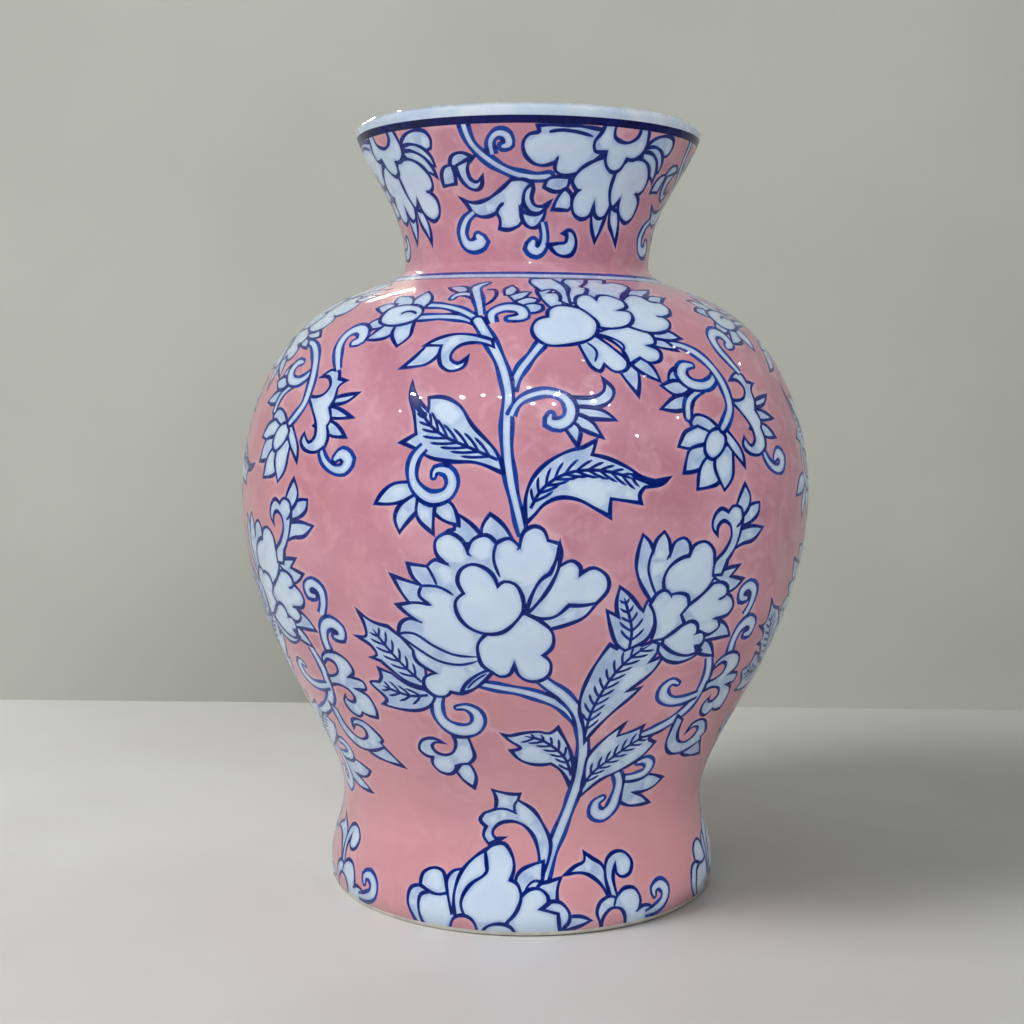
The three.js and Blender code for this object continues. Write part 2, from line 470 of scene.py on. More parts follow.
def big_peony():
    """The peony at the middle of each side."""
    petal([-12.5, 156], (-13.4, 160.4), [-12, 161.6], [-11.3, 166.6], (-8.9, 163.4), [-6.5, 158])
    petal([-7, 156], (-7.2, 162.4), [-5.8, 167], (-3.6, 163.6), [-1.5, 157])
    petal([-21.4, 117], (-21, 112.6), [-17.6, 108.4], (-20, 106), (-20.3, 101.8), (-18.4, 98.6),
          (-16, 98.7), [-14.8, 100.8], (-12.5, 100.3), (-10, 102.5), (-8, 105.5), [-6, 110.3],
          [3.8, 117], [4.6, 127], (8, 128.8), (10.9, 131.4), (12.8, 136), (14.9, 141.6), (14.4, 146.2),
          (12, 148.9), [9.8, 147], (9.6, 149.6), (8.1, 151.5), [5.9, 149.4], (6.3, 154), [5.9, 157.4],
          [4, 158.4], (3.2, 162), (1.8, 163.2), (0, 161.5), [-0.8, 156.3], (-2.6, 159), [-4.7, 157.4],
          (-6.4, 160), (-8.6, 158.6), [-9.7, 154.6], (-10.8, 158.4), (-13, 160.4), (-15.2, 158),
          (-15.2, 153), [-13.6, 149.9], (-15.5, 151), [-17, 148.6], [-20.6, 149.2], (-19.8, 144.6),
          [-18.3, 141.8], [-23.8, 144.6], (-22.3, 139), [-20.9, 135.2], [-23.3, 134.1], (-21.8, 131.4),
          [-19.4, 128.4], (-21, 129.4), (-23, 127.6), [-24, 123])
    ink([-24, 123], (-20.8, 123.7), (-17, 119.4), (-13, 116.3), (-8.5, 116), start=1)
    ink([-23.3, 121.8], (-20, 117.4), (-16.5, 113.6), (-12.4, 112.4), (-8.5, 114.4), start=1)
    ink([-9.7, 154.6], (-9.6, 153.4), (-9, 152.6), start=1)
    ink([-13.6, 149.9], (-13, 150), start=1)
    ink([-0.8, 156.3], (-1.2, 155), start=1)
    ink([-18.3, 141.6], (-15, 141.5), (-12.4, 138.8), start=1)
    ink([-18.3, 141.2], (-18.8, 138), (-16.6, 134.7), start=1, line=1.3)
    ink([-20.9, 135.2], (-19, 135.4), (-16.6, 134.7), start=1)
    ink([-17, 148.6], (-16.2, 146), (-15.3, 142), start=1)
    ink([-19.4, 128.4], (-18.6, 128.2), start=1)
    petal([-12.6, 100.8], (-11.4, 104.6), (-9.2, 108.3), [-7.2, 110.4], (-6, 110.3), (-8, 105.5),
          (-10, 102.5))
    ink((-11.2, 102.6), (-9.6, 106), (-7, 109.4), line=0.9)
    ink([-4.7, 157.4], (-5.2, 152), (-4.1, 145.6), start=1)
    petal([0.4, 132.5], (3, 131), (5.4, 131.6), [8, 135.8], (10.4, 135.7), [12.8, 136.4], (14.9, 141.6),
          (14.4, 146.2), (12, 148.9), [9.8, 147], (9.6, 149.6), (8.1, 151.5), [5.9, 149.4], (4.8, 144),
          (3, 138))
    petal([6, 157.4], (5.3, 151), [4.4, 147], (2.8, 144.6), (1.3, 139), [0.4, 132.5], (3, 138),
          (5, 144.4), (6, 150))
    petal([-6.8, 125], (-8.4, 121), (-8.5, 117), (-7.8, 112.5), [-6, 110], (-4.4, 108.2), (-2.7, 109),
          [-1.7, 112.8], (-0.7, 108.6), (1, 106.6), (3.2, 106.6), (5, 109), (5.2, 114), [3.8, 117],
          (5.4, 120.4), (5.2, 126), (2.8, 130.4), [0, 133], [-3, 128])
    petal([-4.5, 142.6], (-5.4, 146.5), (-7, 149), (-9, 149.9), (-10.9, 148), (-11.6, 144),
          [-10.6, 139.6], (-12.1, 136.6), (-11.8, 131.6), (-10, 127.3), (-7, 125), (-4, 125.6),
          (-1.6, 129.3), (-0.1, 134), (-0.3, 139.4), (-1.6, 143.4), (-3.4, 144.2))


def curls_below():
    """Curls and buds that hang under the peony, between the leaves and the foot."""
    petal([-17, 64], (-14.6, 68.6), [-12.8, 67], (-11.9, 62), [-12.8, 56.8], (-15.5, 60))
    petal([-16, 80.5], (-15.8, 77), (-17, 72.8), (-19.3, 71.2), (-21.5, 72.4), (-22.1, 75), (-21, 76.8),
          [-18.8, 77], (-21.4, 78.8), (-24.5, 77), (-25.9, 72.5), (-24.5, 70), [-22.8, 69.5],
          (-23.2, 66), (-21.5, 62.8), (-19, 62.2), (-17.3, 64), [-16.8, 66.5], (-15.3, 67.5),
          (-13.2, 68.2), (-11.6, 71.5), (-11.9, 76), [-12.5, 80.5])
    band((-17.4, 99, 2.2), (-18.4, 94, 2.6), (-18.2, 88.6, 3.2), (-16.4, 84.9, 4), (-13.6, 83.5, 4.2),
         (-10.9, 84.9, 4), (-9.6, 88.4, 3.4), (-10, 92.2, 2.6), (-11.9, 94.4, 1.6), (-14, 94, 0.6))


def side_curls():
    """The curls right of the big stem, low on the pot."""
    petal([28.4, 57.6], (32, 57.4), (35.6, 59.4), [42.4, 56.2], (40, 53), (36.5, 51.6), [33, 51.8],
          (36, 49.8), [39.6, 46], (35.5, 45.8), (32, 46.4), [28.6, 48.6])
    band((27.4, 59.6, 1.8), (31.4, 59.4, 2.4), (34.6, 60.8, 3), (35.2, 64, 3), (33.4, 66.6, 2.2),
         (31, 66.2, 1))
    band((24.6, 64, 2), (26.8, 58, 2.4), (27, 52, 3), (26.2, 46.6, 3.6), (23.8, 44, 3.8),
         (21.2, 45.6, 3.4), (21, 49.4, 2.4), (22.8, 51.4, 1.2))


def hanging_curls():
    """The side stem that leaves the right flower and ends in a curl with a leaf."""
    band((40.4, 112, 2.2), (42, 104, 2.6), (41.8, 98, 2.8), (40.5, 91, 3), (37.2, 85.6, 3),
         (33, 81.8, 2.6), (29.4, 80, 1.8))
    band((41.4, 95.4, 1.8), (37, 93.8, 2.4), (33.4, 94.4, 3), (31.1, 97.2, 3.4), (30.8, 100.6, 2.8),
         (32.2, 103, 1.8), (34, 102, 0.8))
    petal([46, 66.6], (49.5, 64.2), [57.2, 62.6], (54.6, 67.2), [52.8, 70.4], (50, 69.4))
    petal([37.8, 86.5], (37.6, 79), (38.2, 72.5), (41, 68), (45.5, 66.8), (50, 68.4), [53, 70.6],
          [52.2, 72.3], (53.3, 74), (52, 77.4), (49.6, 81), (47, 82), (44.8, 80.8), [43.8, 76.6],
          (45.8, 79), (48.2, 77.6), (48, 74.2), (45.5, 72), (42.4, 73.4), (40.6, 77.6), [40.2, 84])


def lobed_fan():
    """The lobed leaf between two flowers, with the curls that rise from it."""
    band((47.8, 126.6, 2), (49.1, 131.6, 2.4), (49, 136.4, 2.8), (47, 138.5, 2.8), (45.2, 136.9, 2.6),
         (45.4, 134, 2), (47, 133.6, 1.2))
    band((47, 111, 2.2), (46.7, 117.5, 2.8), (47.8, 122.2, 3.2), (50.1, 124, 3.6), (52.2, 122, 3.4),
         (51.9, 118.8, 2.4), (50.2, 118.6, 1.2))
    petal([43, 96.2], (46, 97.2), (48.8, 95.6), (49.7, 92.6), (48.6, 90.2), (46.9, 90.6), [46.6, 92.6],
          (45.2, 89.4), (46, 85.4), (48.6, 83.6), [50.4, 86], (51.8, 85), [54.6, 84.8], (55.2, 89),
          (54.2, 94.6), [51.6, 96.8], (54.4, 97.6), (54.2, 100.8), [50.8, 102], (52.4, 104.6),
          (51.6, 109), (49, 111.6), (46, 111.4), (43.6, 108.6), [43.4, 105.4], (45.4, 108), (47.3, 107),
          (47.4, 103.4), (45.6, 101.2), [43, 100.2])
    ink([51.6, 96.8], (50.4, 96.9), line=1, start=1)
    ink([50.8, 102], (49.6, 101.2), line=1, start=1)


def right_flower():
    """The flower seen from the side, right of the big peony."""
    petal([36.4, 117.5], (37.9, 119.2), (39.8, 117), [41.6, 112], (38.6, 113), [36.4, 114.4])
    petal([26.5, 120], [26.6, 116.8], (29, 112.7), (32.3, 111.1), (35.7, 112.6), [37.4, 115], (33, 119))
    petal([35.2, 146], (35.6, 148.4), (37.9, 150.6), [39.6, 149.4], (39, 145.3), [36.5, 142.6])
    petal([36.2, 142.6], (38.6, 145.6), [42.8, 146.6], [40.9, 143], [44.6, 141.3], (42, 137.6),
          [38, 137])
    petal([38, 126.4], (40.6, 126.2), (42.9, 123.7), [44.7, 119.4], (40.7, 119.2), [37, 119])
    petal([24.6, 121], (24.9, 126), (24.4, 131), [23, 137], (20.8, 143), (19.8, 148.4), (19.9, 154),
          [20.7, 159.8], (21.9, 157.8), [22.8, 154.7], (23.4, 158), [24.8, 160.6], (25.8, 157.8),
          [26.3, 153.2], (27, 156.8), (28.8, 158.2), (30, 156.6), [30.5, 153.7], (31.4, 155.6),
          (33.6, 156.4), (35.6, 153.6), (36, 149.6), [36.5, 143.2], (38.6, 141), [40.6, 139.2],
          [40.8, 136.6], (42.4, 134.6), (43.3, 131.4), (42.3, 128.3), [39.6, 127.4], (40.6, 124),
          (38.6, 121.4), [37.2, 121], (37.2, 118), [36.3, 114.8], (34, 113.7), (30.1, 115.8),
          [27.3, 119.4])
    ink([22.8, 154.7], (22.1, 148.4), (22.9, 143.2), (24.3, 138), start=1)
    ink([26.3, 153.2], (25.6, 150.6), start=1)
    petal([30.2, 151.8], (31.4, 155.6), (33.6, 156.4), (35.6, 153.6), (36.2, 149), [36.6, 143.2],
          (34.8, 138), [31.4, 133.6], (28, 136), [25.7, 140], (25.4, 144.4), (26.4, 148.4), (28.4, 151))
    petal([36.6, 141], (38.6, 141.2), (40.4, 139.5), [40.8, 136.6], (42.4, 134.6), (43.3, 131.4),
          (42.3, 128.3), [39.6, 127.4], (40.6, 124), (38.6, 121.4), [36.6, 122], [32, 126],
          [30.2, 130.4], [31.4, 133.6], (34.8, 138))
    ink([40.8, 136.6], (39.8, 135.2), (38.6, 134.8), start=1)
    ink([39.6, 127.4], (38.2, 127.4), start=1)
    petal([24.6, 121], (24.9, 126), (24.4, 131), [23.2, 135], (24.4, 139), (25.9, 140.1), [27.3, 138.2],
          (29, 138.6), (30.9, 137.4), [31.6, 133.7], [30.2, 130.4], [31.3, 126.8], [27.4, 121.6])
    ink([27.3, 138.2], (27.5, 136.9), start=1)
    petal([27.2, 121.6], (29.3, 123.6), [30.8, 126], (33, 127.5), (34.6, 126), [35.1, 122.6],
          (36.4, 122.6), (37.3, 120.6), (37, 117.6), [35.7, 117], [36.4, 114.6], (34, 113.7),
          (30.1, 115.8), [27.3, 119.4])
    ink([35.1, 122.6], (34.3, 121.8), start=1)


def bud_branch():
    """The bud and its two leaves above the right flower."""
    petal([42.3, 159.8], (45.1, 160.5), [48.9, 159.5], (46.2, 155.4), (43, 154.4), [41, 153])
    petal([42.4, 165.6], (45, 168.2), [47.5, 168.6], (47.1, 164.6), (44.7, 161.8), [42.2, 161])
    petal([40.7, 167.6], (41.8, 171.6), [43.3, 175.6], (44.7, 171), (44.3, 167.4), [42.4, 163.8])
    petal([36.2, 144], (36.4, 149), (38.4, 152.6), (39.8, 157.4), (39.3, 161.6), (37.6, 163.2),
          (36.4, 161.4), [36.3, 158.4], (35.1, 161), (35.4, 165), (37, 167.5), [38.8, 166.2],
          (40.2, 168.2), (42, 167.4), (42.7, 164), (42.3, 159.4), (41.2, 153.7), [39.4, 149],
          [38.4, 144])
    ink((41, 160.6), (42, 161.8), (42.6, 164), line=1.2)


def upper_stem():
    """The stem above the peony, which parts to the lotus and to the shoulder flower."""
    stem(1.8, (-10.6, 236.6), (-15, 239.3), (-20, 240), (-26, 239.4))
    stem(1.8, (-10.6, 238), (-16, 243.6), (-21, 246.3), (-26, 246.9))
    stem(1.9, (-2.6, 209), (-1.2, 216), (1, 222), (3.4, 228))
    band((-0.2, 160, 1.6), (-1.2, 168, 1.9), (-2.4, 178, 2.1), (-3.2, 190, 2.2), (-3.3, 200, 2.2),
         (-3.2, 208, 2.2), (-4.6, 218, 2.4), (-7.4, 228, 2.7), (-11, 238, 3))


def upper_leaves():
    """The two leaves of the upper stem."""
    leaf(([-3.6, 180.5], (-5, 187.8), (-9.4, 196.7), (-11.9, 203.3), (-15, 206.2), [-18, 206],
          (-17.8, 203.4), [-17.8, 201.4], (-19.6, 204.4), (-20.8, 207), [-21.9, 211.6], (-21.8, 206.7),
          (-20.6, 201), [-19.6, 193.3], [-22.2, 190.2], (-19, 187.8), (-16.6, 185.4), (-12.6, 184.2),
          (-8.4, 184)),
         ((-4.6, 185), (-9.4, 188.8), (-14.6, 193), (-17.6, 197.4), (-19.2, 202)),
         spacing=3.2, longest=7.5, lean=0.5)
    ink([-21.8, 210.6], (-21, 206), (-19.4, 201.4), (-18, 199.4), line=2, start=0.4, end=0.4)
    leaf(([0.2, 164], (0.2, 173), (1.3, 179), (3.6, 184), (7, 187.8), [10, 189.4], [12.4, 191.8],
          (12, 189), [11.6, 187], (14.5, 185.6), (18, 182.5), (20.5, 179.4), [23, 177.8], [25.6, 178.6],
          (24, 176.4), [21, 175.9], (20, 173.4), [20.2, 170.6], (17.5, 171.4), [14.8, 172.2],
          (14.6, 169), [14.6, 166.2], (12, 169), (9, 172), (6, 172.7), (3.4, 170.6), (1.7, 167)),
         ((1, 169), (3.2, 176), (7, 180.6), (11, 181.8), (15, 181), (19.4, 178.3)),
         spacing=3.1, longest=6, lean=0.55)
    ink([18.4, 180.4], (20.8, 178.4), (23, 177), [25.6, 178.4], line=2.2, start=0.4, end=0.3)


def fan_curls():
    """The curls that end in a fan of petals, left and right of the upper stem."""
    petal([-19, 177], (-23.1, 176.2), (-25.3, 173), [-26.6, 169.2], (-23.1, 169.4), [-19, 172])
    petal([-18, 174], (-21.9, 168.9), (-22.8, 164.4), [-21.9, 159.8], (-20.3, 163.6), [-17.6, 169])
    petal([-14.8, 172], (-12.6, 170.4), (-11.4, 166), [-11.2, 163], (-14, 164.6), [-16, 168])
    petal([-18.6, 171], (-18.5, 165), [-15.7, 160], (-15.6, 165.5), [-15.2, 171])
    band((-17.8, 189, 1.8), (-19.4, 185, 2), (-19.8, 180, 2.1), (-18.9, 175.3, 2.6), (-16.2, 171.8, 3),
         (-13.4, 173.2, 3), (-12.4, 177.4, 2.8), (-13.4, 181, 2), (-15.4, 181.2, 1.2), (-15.8, 179, 0.6))
    petal([8.4, 206.8], (12.5, 206.8), (14.6, 209.2), [14.8, 213.2], (16.5, 209.6), (15.9, 206),
          (13.6, 203.4), [8.4, 202.6])
    petal([8, 203.6], (13.6, 202.4), [16.2, 198.8], (13, 199), [8, 200])
    petal([8, 201.4], (11.4, 199), [13.6, 192.8], (11, 194.6), [7.4, 198])
    petal([7.4, 199], (9.6, 196), [9.1, 189.8], (7.8, 193.4), [6.6, 197])
    band((-2.6, 200, 1.2), (-0.8, 205.6, 1.4), (3.6, 208.4, 1.5), (6.7, 207, 2), (8.1, 203.4, 2.6),
         (7.7, 199.2, 3), (6, 197.2, 3), (4.3, 198, 2), (4.5, 200.4, 0.8))


def lotus():
    """The small round flower on the shoulder, left of the stem."""
    petal([-30.6, 244], (-31.2, 251), [-29.8, 258], (-26.6, 253.6), (-25.4, 249), [-26.6, 244])
    petal([-36, 243], (-36.9, 248.8), [-37.8, 253.8], (-33.8, 253.8), (-31.2, 250.8), [-30.2, 245])
    petal([-35.6, 241], (-39.2, 243.6), [-41, 245.6], (-38.8, 248.2), [-35.4, 248])
    petal([-36, 240], (-38.4, 238), [-39.8, 234.2], (-36.6, 233.6), (-34.2, 235), [-32.6, 238])
    petal([-33, 238], (-35.2, 233), [-37, 228.8], (-33.4, 228.8), (-31, 230.4), [-29.6, 237])
    petal([-30.2, 238], (-30.6, 231.8), [-27.8, 225.8], (-25.7, 230.2), (-26, 234.6), [-26.4, 239])
    petal((-36.9, 241), (-36.3, 245), (-33.2, 247.1), (-29.4, 247.3), (-26.5, 245.3), (-25.5, 241.8),
          (-26.5, 238), (-29.4, 235.8), (-33, 235.5), (-36, 237.4))
    ink((-31.4, 241.6), (-30.4, 243), (-28.4, 243), (-27, 241.6), line=1.3)


def neck_base_sprigs():
    """The small curls under the rings at the neck, left of the shoulder flower."""
    petal([-17, 259], (-18.3, 262), (-21, 263.4), [-24.4, 261.9], (-21, 257.6), [-17.4, 256])
    band((-13, 251, 1.4), (-16, 255, 2), (-19.2, 254.6, 2), (-20, 251.4, 0.8))
    band((-10.6, 241, 1.6), (-12.2, 249, 2), (-14, 256, 2.4), (-15.3, 262, 2.6), (-13, 267, 1))
    ink((-11.8, 259), (-9.5, 259.5), (-8.3, 256), (-8.5, 251), (-10.5, 246), line=1.6)
    petal([-5.8, 254], (-6.4, 260), [-4.4, 264], (-2.5, 259), [-3.6, 254])
    petal([-4.8, 253.5], (-1.3, 257), [1.2, 257], (-0.8, 251.5), [-3, 249])
    petal([-3, 249.5], (0.5, 252.4), [3.4, 250.6], (1, 247), [-2, 247])
    petal([-1, 246.6], (1.5, 248.2), [3.8, 247.2], (4, 244.5), (2, 242.2), [-1, 242.6])
    band((-7.4, 236.6, 1.4), (-8, 242, 2.6), (-5, 245.4, 3.4), (-1.6, 244.4, 3.4), (-0.8, 240.4, 3),
         (-3.8, 239, 1.2))


def shoulder_sprig():
    """The curl with a bud under the left branch of the stem."""
    petal([-25, 217], (-22.6, 221.8), [-21, 226], (-18.8, 226.6), [-17, 225.6], (-18, 221.6),
          (-20, 218.4), (-22.6, 217.4))
    petal([-21.2, 226.3], (-19.1, 229), (-15.6, 231.2), (-11.3, 231), [-7, 228.8], [-6.6, 225.8],
          (-10, 227.5), (-13.3, 226.6), (-15, 223.3), (-14.9, 220.4), (-13.4, 219), [-11.7, 221.2],
          (-12.2, 217.4), (-14.7, 215.9), (-16.6, 217.7), (-17.6, 222), [-17.6, 226.2])


def shoulder_flower():
    """The big flower on the shoulder, under the rings."""
    petal([18, 221], (18.6, 215.5), [21.3, 207.6], (22.2, 214), [22, 221])
    petal([20, 224], (21.6, 218), (23.6, 215.2), [26.6, 212.6], (25.8, 218), [23.6, 223])
    petal([26, 229], (30.5, 229.6), [33, 225.2], (29.6, 226), [26, 228])
    petal([26.5, 231], (30, 233), (33, 234), [35.8, 230.5], (32, 229.6))
    petal([10.5, 229], (11.6, 223), (12.8, 218), (14.3, 216.3), [15.5, 219], (17.4, 216.2),
          (19.6, 216.8), (20.6, 220), (18.4, 225), [15, 231], (12.5, 231))
    ink((12.6, 228), (14.3, 224.5), (13.6, 220), line=1)
    petal([14.6, 232], (18, 234.4), (21.5, 236.5), (26, 235), (28.4, 231.5), (28.2, 228), [26.3, 227],
          (28.6, 224.8), (28, 221), (25.5, 219.8), [23.5, 221.8], (22, 220.3), [20.6, 218.6],
          (20.3, 224), (18, 229))
    ink((15.3, 232), (18.5, 230), (20.5, 227), (20, 224), line=1)
    fill(trace(([1.5, 272.4], (1.6, 267.5), (3.3, 261), (4.2, 252), [6.5, 246], [36, 246], (33.5, 262),
                [29, 272.4]), closed=True), ENAMEL)
    petal([3, 263.5], (3, 256), (4.2, 250), [6, 245], [9, 246], (9.3, 253), [8.3, 256.6], [6.1, 256.4],
          (7.6, 260.5), [5.8, 264], (4.4, 262.6))
    petal([4, 258], (2, 264), (1, 268), [1.5, 272.4], [9, 272.4], (11.4, 266), (11.6, 258), [11, 247],
          [8.6, 250], (9, 255), (7.6, 260))
    petal([11.2, 248], (11.5, 256), (12.8, 262), [12, 268.6], (13, 271), [14, 272.4], [21.6, 272.4],
          (19.4, 267), [16.6, 263.3], [18.2, 262], (16.4, 256))
    petal([15, 250], (17, 256.4), (18.3, 261.8), [16.9, 263.4], (19.4, 266.6), [21.8, 272.4],
          [29.3, 272.4], [27.4, 268.6], (31, 269.4), (34.6, 268), (35, 265), (32, 261), (28.6, 257),
          [25, 250])
    petal([27, 251], (29.6, 256.6), (33, 261), (37, 261.6), [41.8, 262.6], (38.6, 258.6), (35.4, 255.6),
          [31, 250])
    petal([33.6, 251], (37, 255.6), [42.8, 255], (40, 252.4), [37, 247.6])
    petal([24, 247], (26, 251.4), (28.2, 254.4), (31, 256.2), (33.7, 255), (35.2, 251.2), (38, 250.4),
          (39, 247), (37.6, 243), [34.6, 241.2], (35.4, 238.8), (34, 235), (30.5, 232.8), (27.2, 233.2),
          [23, 236])
    ink([34.6, 241.2], (32.6, 241.8), line=1, start=1)
    petal([12.3, 248], (13.3, 253), (15.4, 255.2), (17.6, 254.6), [18.5, 251.5], (20, 254.7),
          (22.6, 255.2), (25, 252.8), (26.2, 250), (25.6, 246.4), [23, 244.5], (25.6, 243.8),
          (25.7, 240.6), (24, 236.8), (20.5, 234.8), (16.4, 235), [14.6, 238])
    petal((10, 247), (12.7, 245.6), (15, 241.4), (16.2, 237), (15, 231.8), (12.5, 228.6), (7.6, 226.6),
          (4.2, 226.8), (1.8, 230), (1.2, 234.4), (2.4, 238.6), [4.8, 240.4], (5.2, 244), (7.2, 246.6))


def hanging_spray():
    """The stem that hangs down the shoulder between two flowers, with its curls and blossoms."""
    band((49.6, 189, 1), (51.2, 183, 1.6), (53.8, 180, 2), (56, 180.2, 2.8), (57, 183.4, 3.6),
         (55.4, 185.4, 3.2), (53.9, 183.6, 1.4))
    petal([49, 204], (52.4, 206), [56.6, 207.2], (54.4, 204), (51.6, 202.8), [48, 203])
    petal([48, 200.8], (51.6, 201.8), [56.4, 198.4], (53, 197.8), [48, 198])
    petal([48, 197], (52, 196.4), (54, 194.4), [55.6, 191.4], (52.4, 191.4), (50, 193), [47, 195])
    petal([42.6, 206], (45.4, 200.6), (47.5, 195), (47.7, 190.6), (46.4, 188.8), [44.6, 192],
          (43.9, 189), (45.4, 186.2), (48.4, 185.4), [51, 187.8], (51.4, 191), [50.6, 195],
          (51.2, 197.4), [50.2, 201.6], (51, 205), (51, 209.4), [52.6, 211.8], [50.4, 212.6],
          (49.6, 215.6), (47.4, 216), [44.9, 213.2], (47.3, 213), (48.6, 209.8), (47.4, 206.4),
          (45, 205.4))
    band((49.2, 216, 1.6), (47.4, 221, 2.2), (45.8, 226.6, 2.8), (46.2, 231.6, 3.2), (48.6, 234, 3.4),
         (51, 232.6, 3.6), (51.6, 228.8, 3.4), (50, 227.4, 2.2))
    petal([33, 218], (31, 218), (29.2, 216), [28.4, 212.4], (31, 212.2), [33.4, 213])
    petal([32.6, 212], (29.6, 213), [26.6, 211], (29.4, 207.4), (31.6, 208), [33, 210])
    petal([33, 207.4], (29.4, 207.2), [25.6, 202.6], (29.4, 201.8), [33, 204])
    band((36, 209.6, 1), (32.2, 205.6, 1.6), (31.2, 199.6, 1.8))
    petal([38.4, 195], (35.6, 199.4), (33, 200.4), [31.4, 197.6], (32.4, 194.6), (35.2, 193),
          [38, 193.4])
    petal([33, 196.4], (30, 194.4), (29, 192), [28.2, 189.4], (31.6, 188.4), (34.4, 190), [36, 194])
    petal([34.4, 190], (30.6, 188.4), (29.6, 185), [28.9, 180.4], (31.4, 180.8), (34, 183), [35.6, 190])
    petal([38, 187], (34.4, 185.6), (32.4, 181.6), [31.6, 174.6], (34.4, 175.2), (36.4, 176.4),
          [38, 183])
    petal([40.4, 190], (36.8, 187), (35.8, 182), [37.8, 173.8], (40, 178), (40.6, 184), [40.8, 189])
    petal([38.6, 195], (39.4, 190.6), (41, 186.6), [43.6, 181.8], (43.4, 186.6), (41.6, 191.6),
          [39.4, 196])
    petal([38, 195.4], (39.4, 192.4), (38.4, 188), (35.4, 184.6), (34, 186.6), (34.2, 190.8),
          (36, 194.6))
    band((41, 216.4, 1.2), (39.2, 212.6, 2), (36.6, 211, 2.6), (33.4, 212, 3.2), (32, 215.4, 3.4),
         (33.2, 218.6, 2.6), (35.4, 219, 1))
    band((31, 228, 1.4), (35, 227, 1.8), (39, 222.4, 2.4), (41.4, 216, 2.6), (42.4, 209, 2.6),
         (42.2, 202.6, 2.4), (40.4, 198, 2.2), (39, 195.4, 1.6))


def plain_rings():
    """The bare foot edge, the lines round the foot of the neck, and the navy edge under the lip."""
    hoop(-4, 2.3, BISCUIT)
    hoop(272.6, 273.9, SLATE)
    hoop(273.9, 276.8, ENAMEL)
    hoop(276.8, 279, INK)
    hoop(335.5, 338.4, NAVY)
    hoop(338.4, 352, LIP)


def neck_petal(*path, label=ENAMEL):
    return petal(*path, line=NECK_LINE, label=label)


def neck_flower():
    """The flower that hangs down the neck from under the rim."""
    neck_petal([27, 305], (28.2, 298), [30.8, 292.2], (33.2, 297), [35, 304])
    neck_petal([36, 305], (37.2, 299), (39.6, 295.8), [42.6, 291.8], (42.8, 297.6), [40.8, 304])
    neck_petal([42, 329], (45.6, 333), (50.6, 334.8), (55.4, 334), (56.8, 331), [55.8, 327.6], [50, 326])
    neck_petal([42, 329], (47.6, 330), (52.4, 328), (54.8, 324.6), [55.2, 320.8], [50, 322])
    neck_petal([42, 327.6], (47, 327.4), (51.6, 324.4), (53.8, 320.6), [54.4, 316.6], (51, 318.6),
               [46, 318])
    neck_petal([6.2, 311.6], (7.4, 314.6), (11.4, 315.8), [15.6, 315.6], (15.2, 312), (11, 310))
    neck_petal([10.2, 303.4], (11.8, 307.8), (14.4, 311.2), [17.4, 309], (18, 305), [16.6, 303.2])
    neck_petal([25, 334], (15, 335), (8, 335), [3, 334.6], (3.4, 332.6), (0.2, 331.4), (-1.6, 328.4),
               (-1.2, 324.4), (1.4, 321), (5.2, 319.8), [9.6, 321.2], (9.8, 318.2), (12.8, 316.4),
               (17.4, 317), (22, 321), [27, 326])
    ink((6.6, 332.4), (10.3, 333.2), (15.5, 332.8), (21.2, 331.4), line=1.4)
    ink([9.6, 321.2], (10.4, 323.6), line=1.4, start=1)
    neck_petal([27.6, 324], (22.8, 322), (18.6, 318.4), (16.8, 314.2), [19.2, 310.6], (17.8, 307.2),
               (19, 302.4), (22.8, 300.2), (26.4, 301.6), [27.6, 305.9], (28.6, 302.6), (31, 300.8),
               (34, 301.8), (35.4, 304.6), [36, 306.6], (34.4, 311), (33.5, 316), [33, 320])
    ink([19.2, 310.6], (21, 311.2), line=1.4, start=1)
    neck_petal([33.4, 319.2], (33.6, 311), [35.9, 305.7], (37.6, 305.6), [39.4, 307.8], (40.2, 304.8),
               (42.8, 301.6), (46.8, 300), (50.6, 302.6), (51.2, 307.6), [48.6, 311], (51, 313),
               (51.2, 317.4), (48, 322.4), (42.6, 324.8), [37, 323.8])
    ink([48.6, 311], (46.6, 311.4), line=1.4, start=1)
    neck_petal([25, 338], (23.7, 333), (22, 329.4), (22.8, 326.3), [27, 326], (27.6, 322.8), (29.4, 320),
               (32.4, 318.6), (35, 320.2), [36, 324.2], (39.5, 324.2), (42, 326.8), (42.6, 331),
               [41, 338])
    neck_petal((33.3, 339), (28.8, 337), (28.6, 332.4), (31.6, 330.4), (35.4, 330.6), (38, 333.4),
               (37.6, 337), label=GROUND)


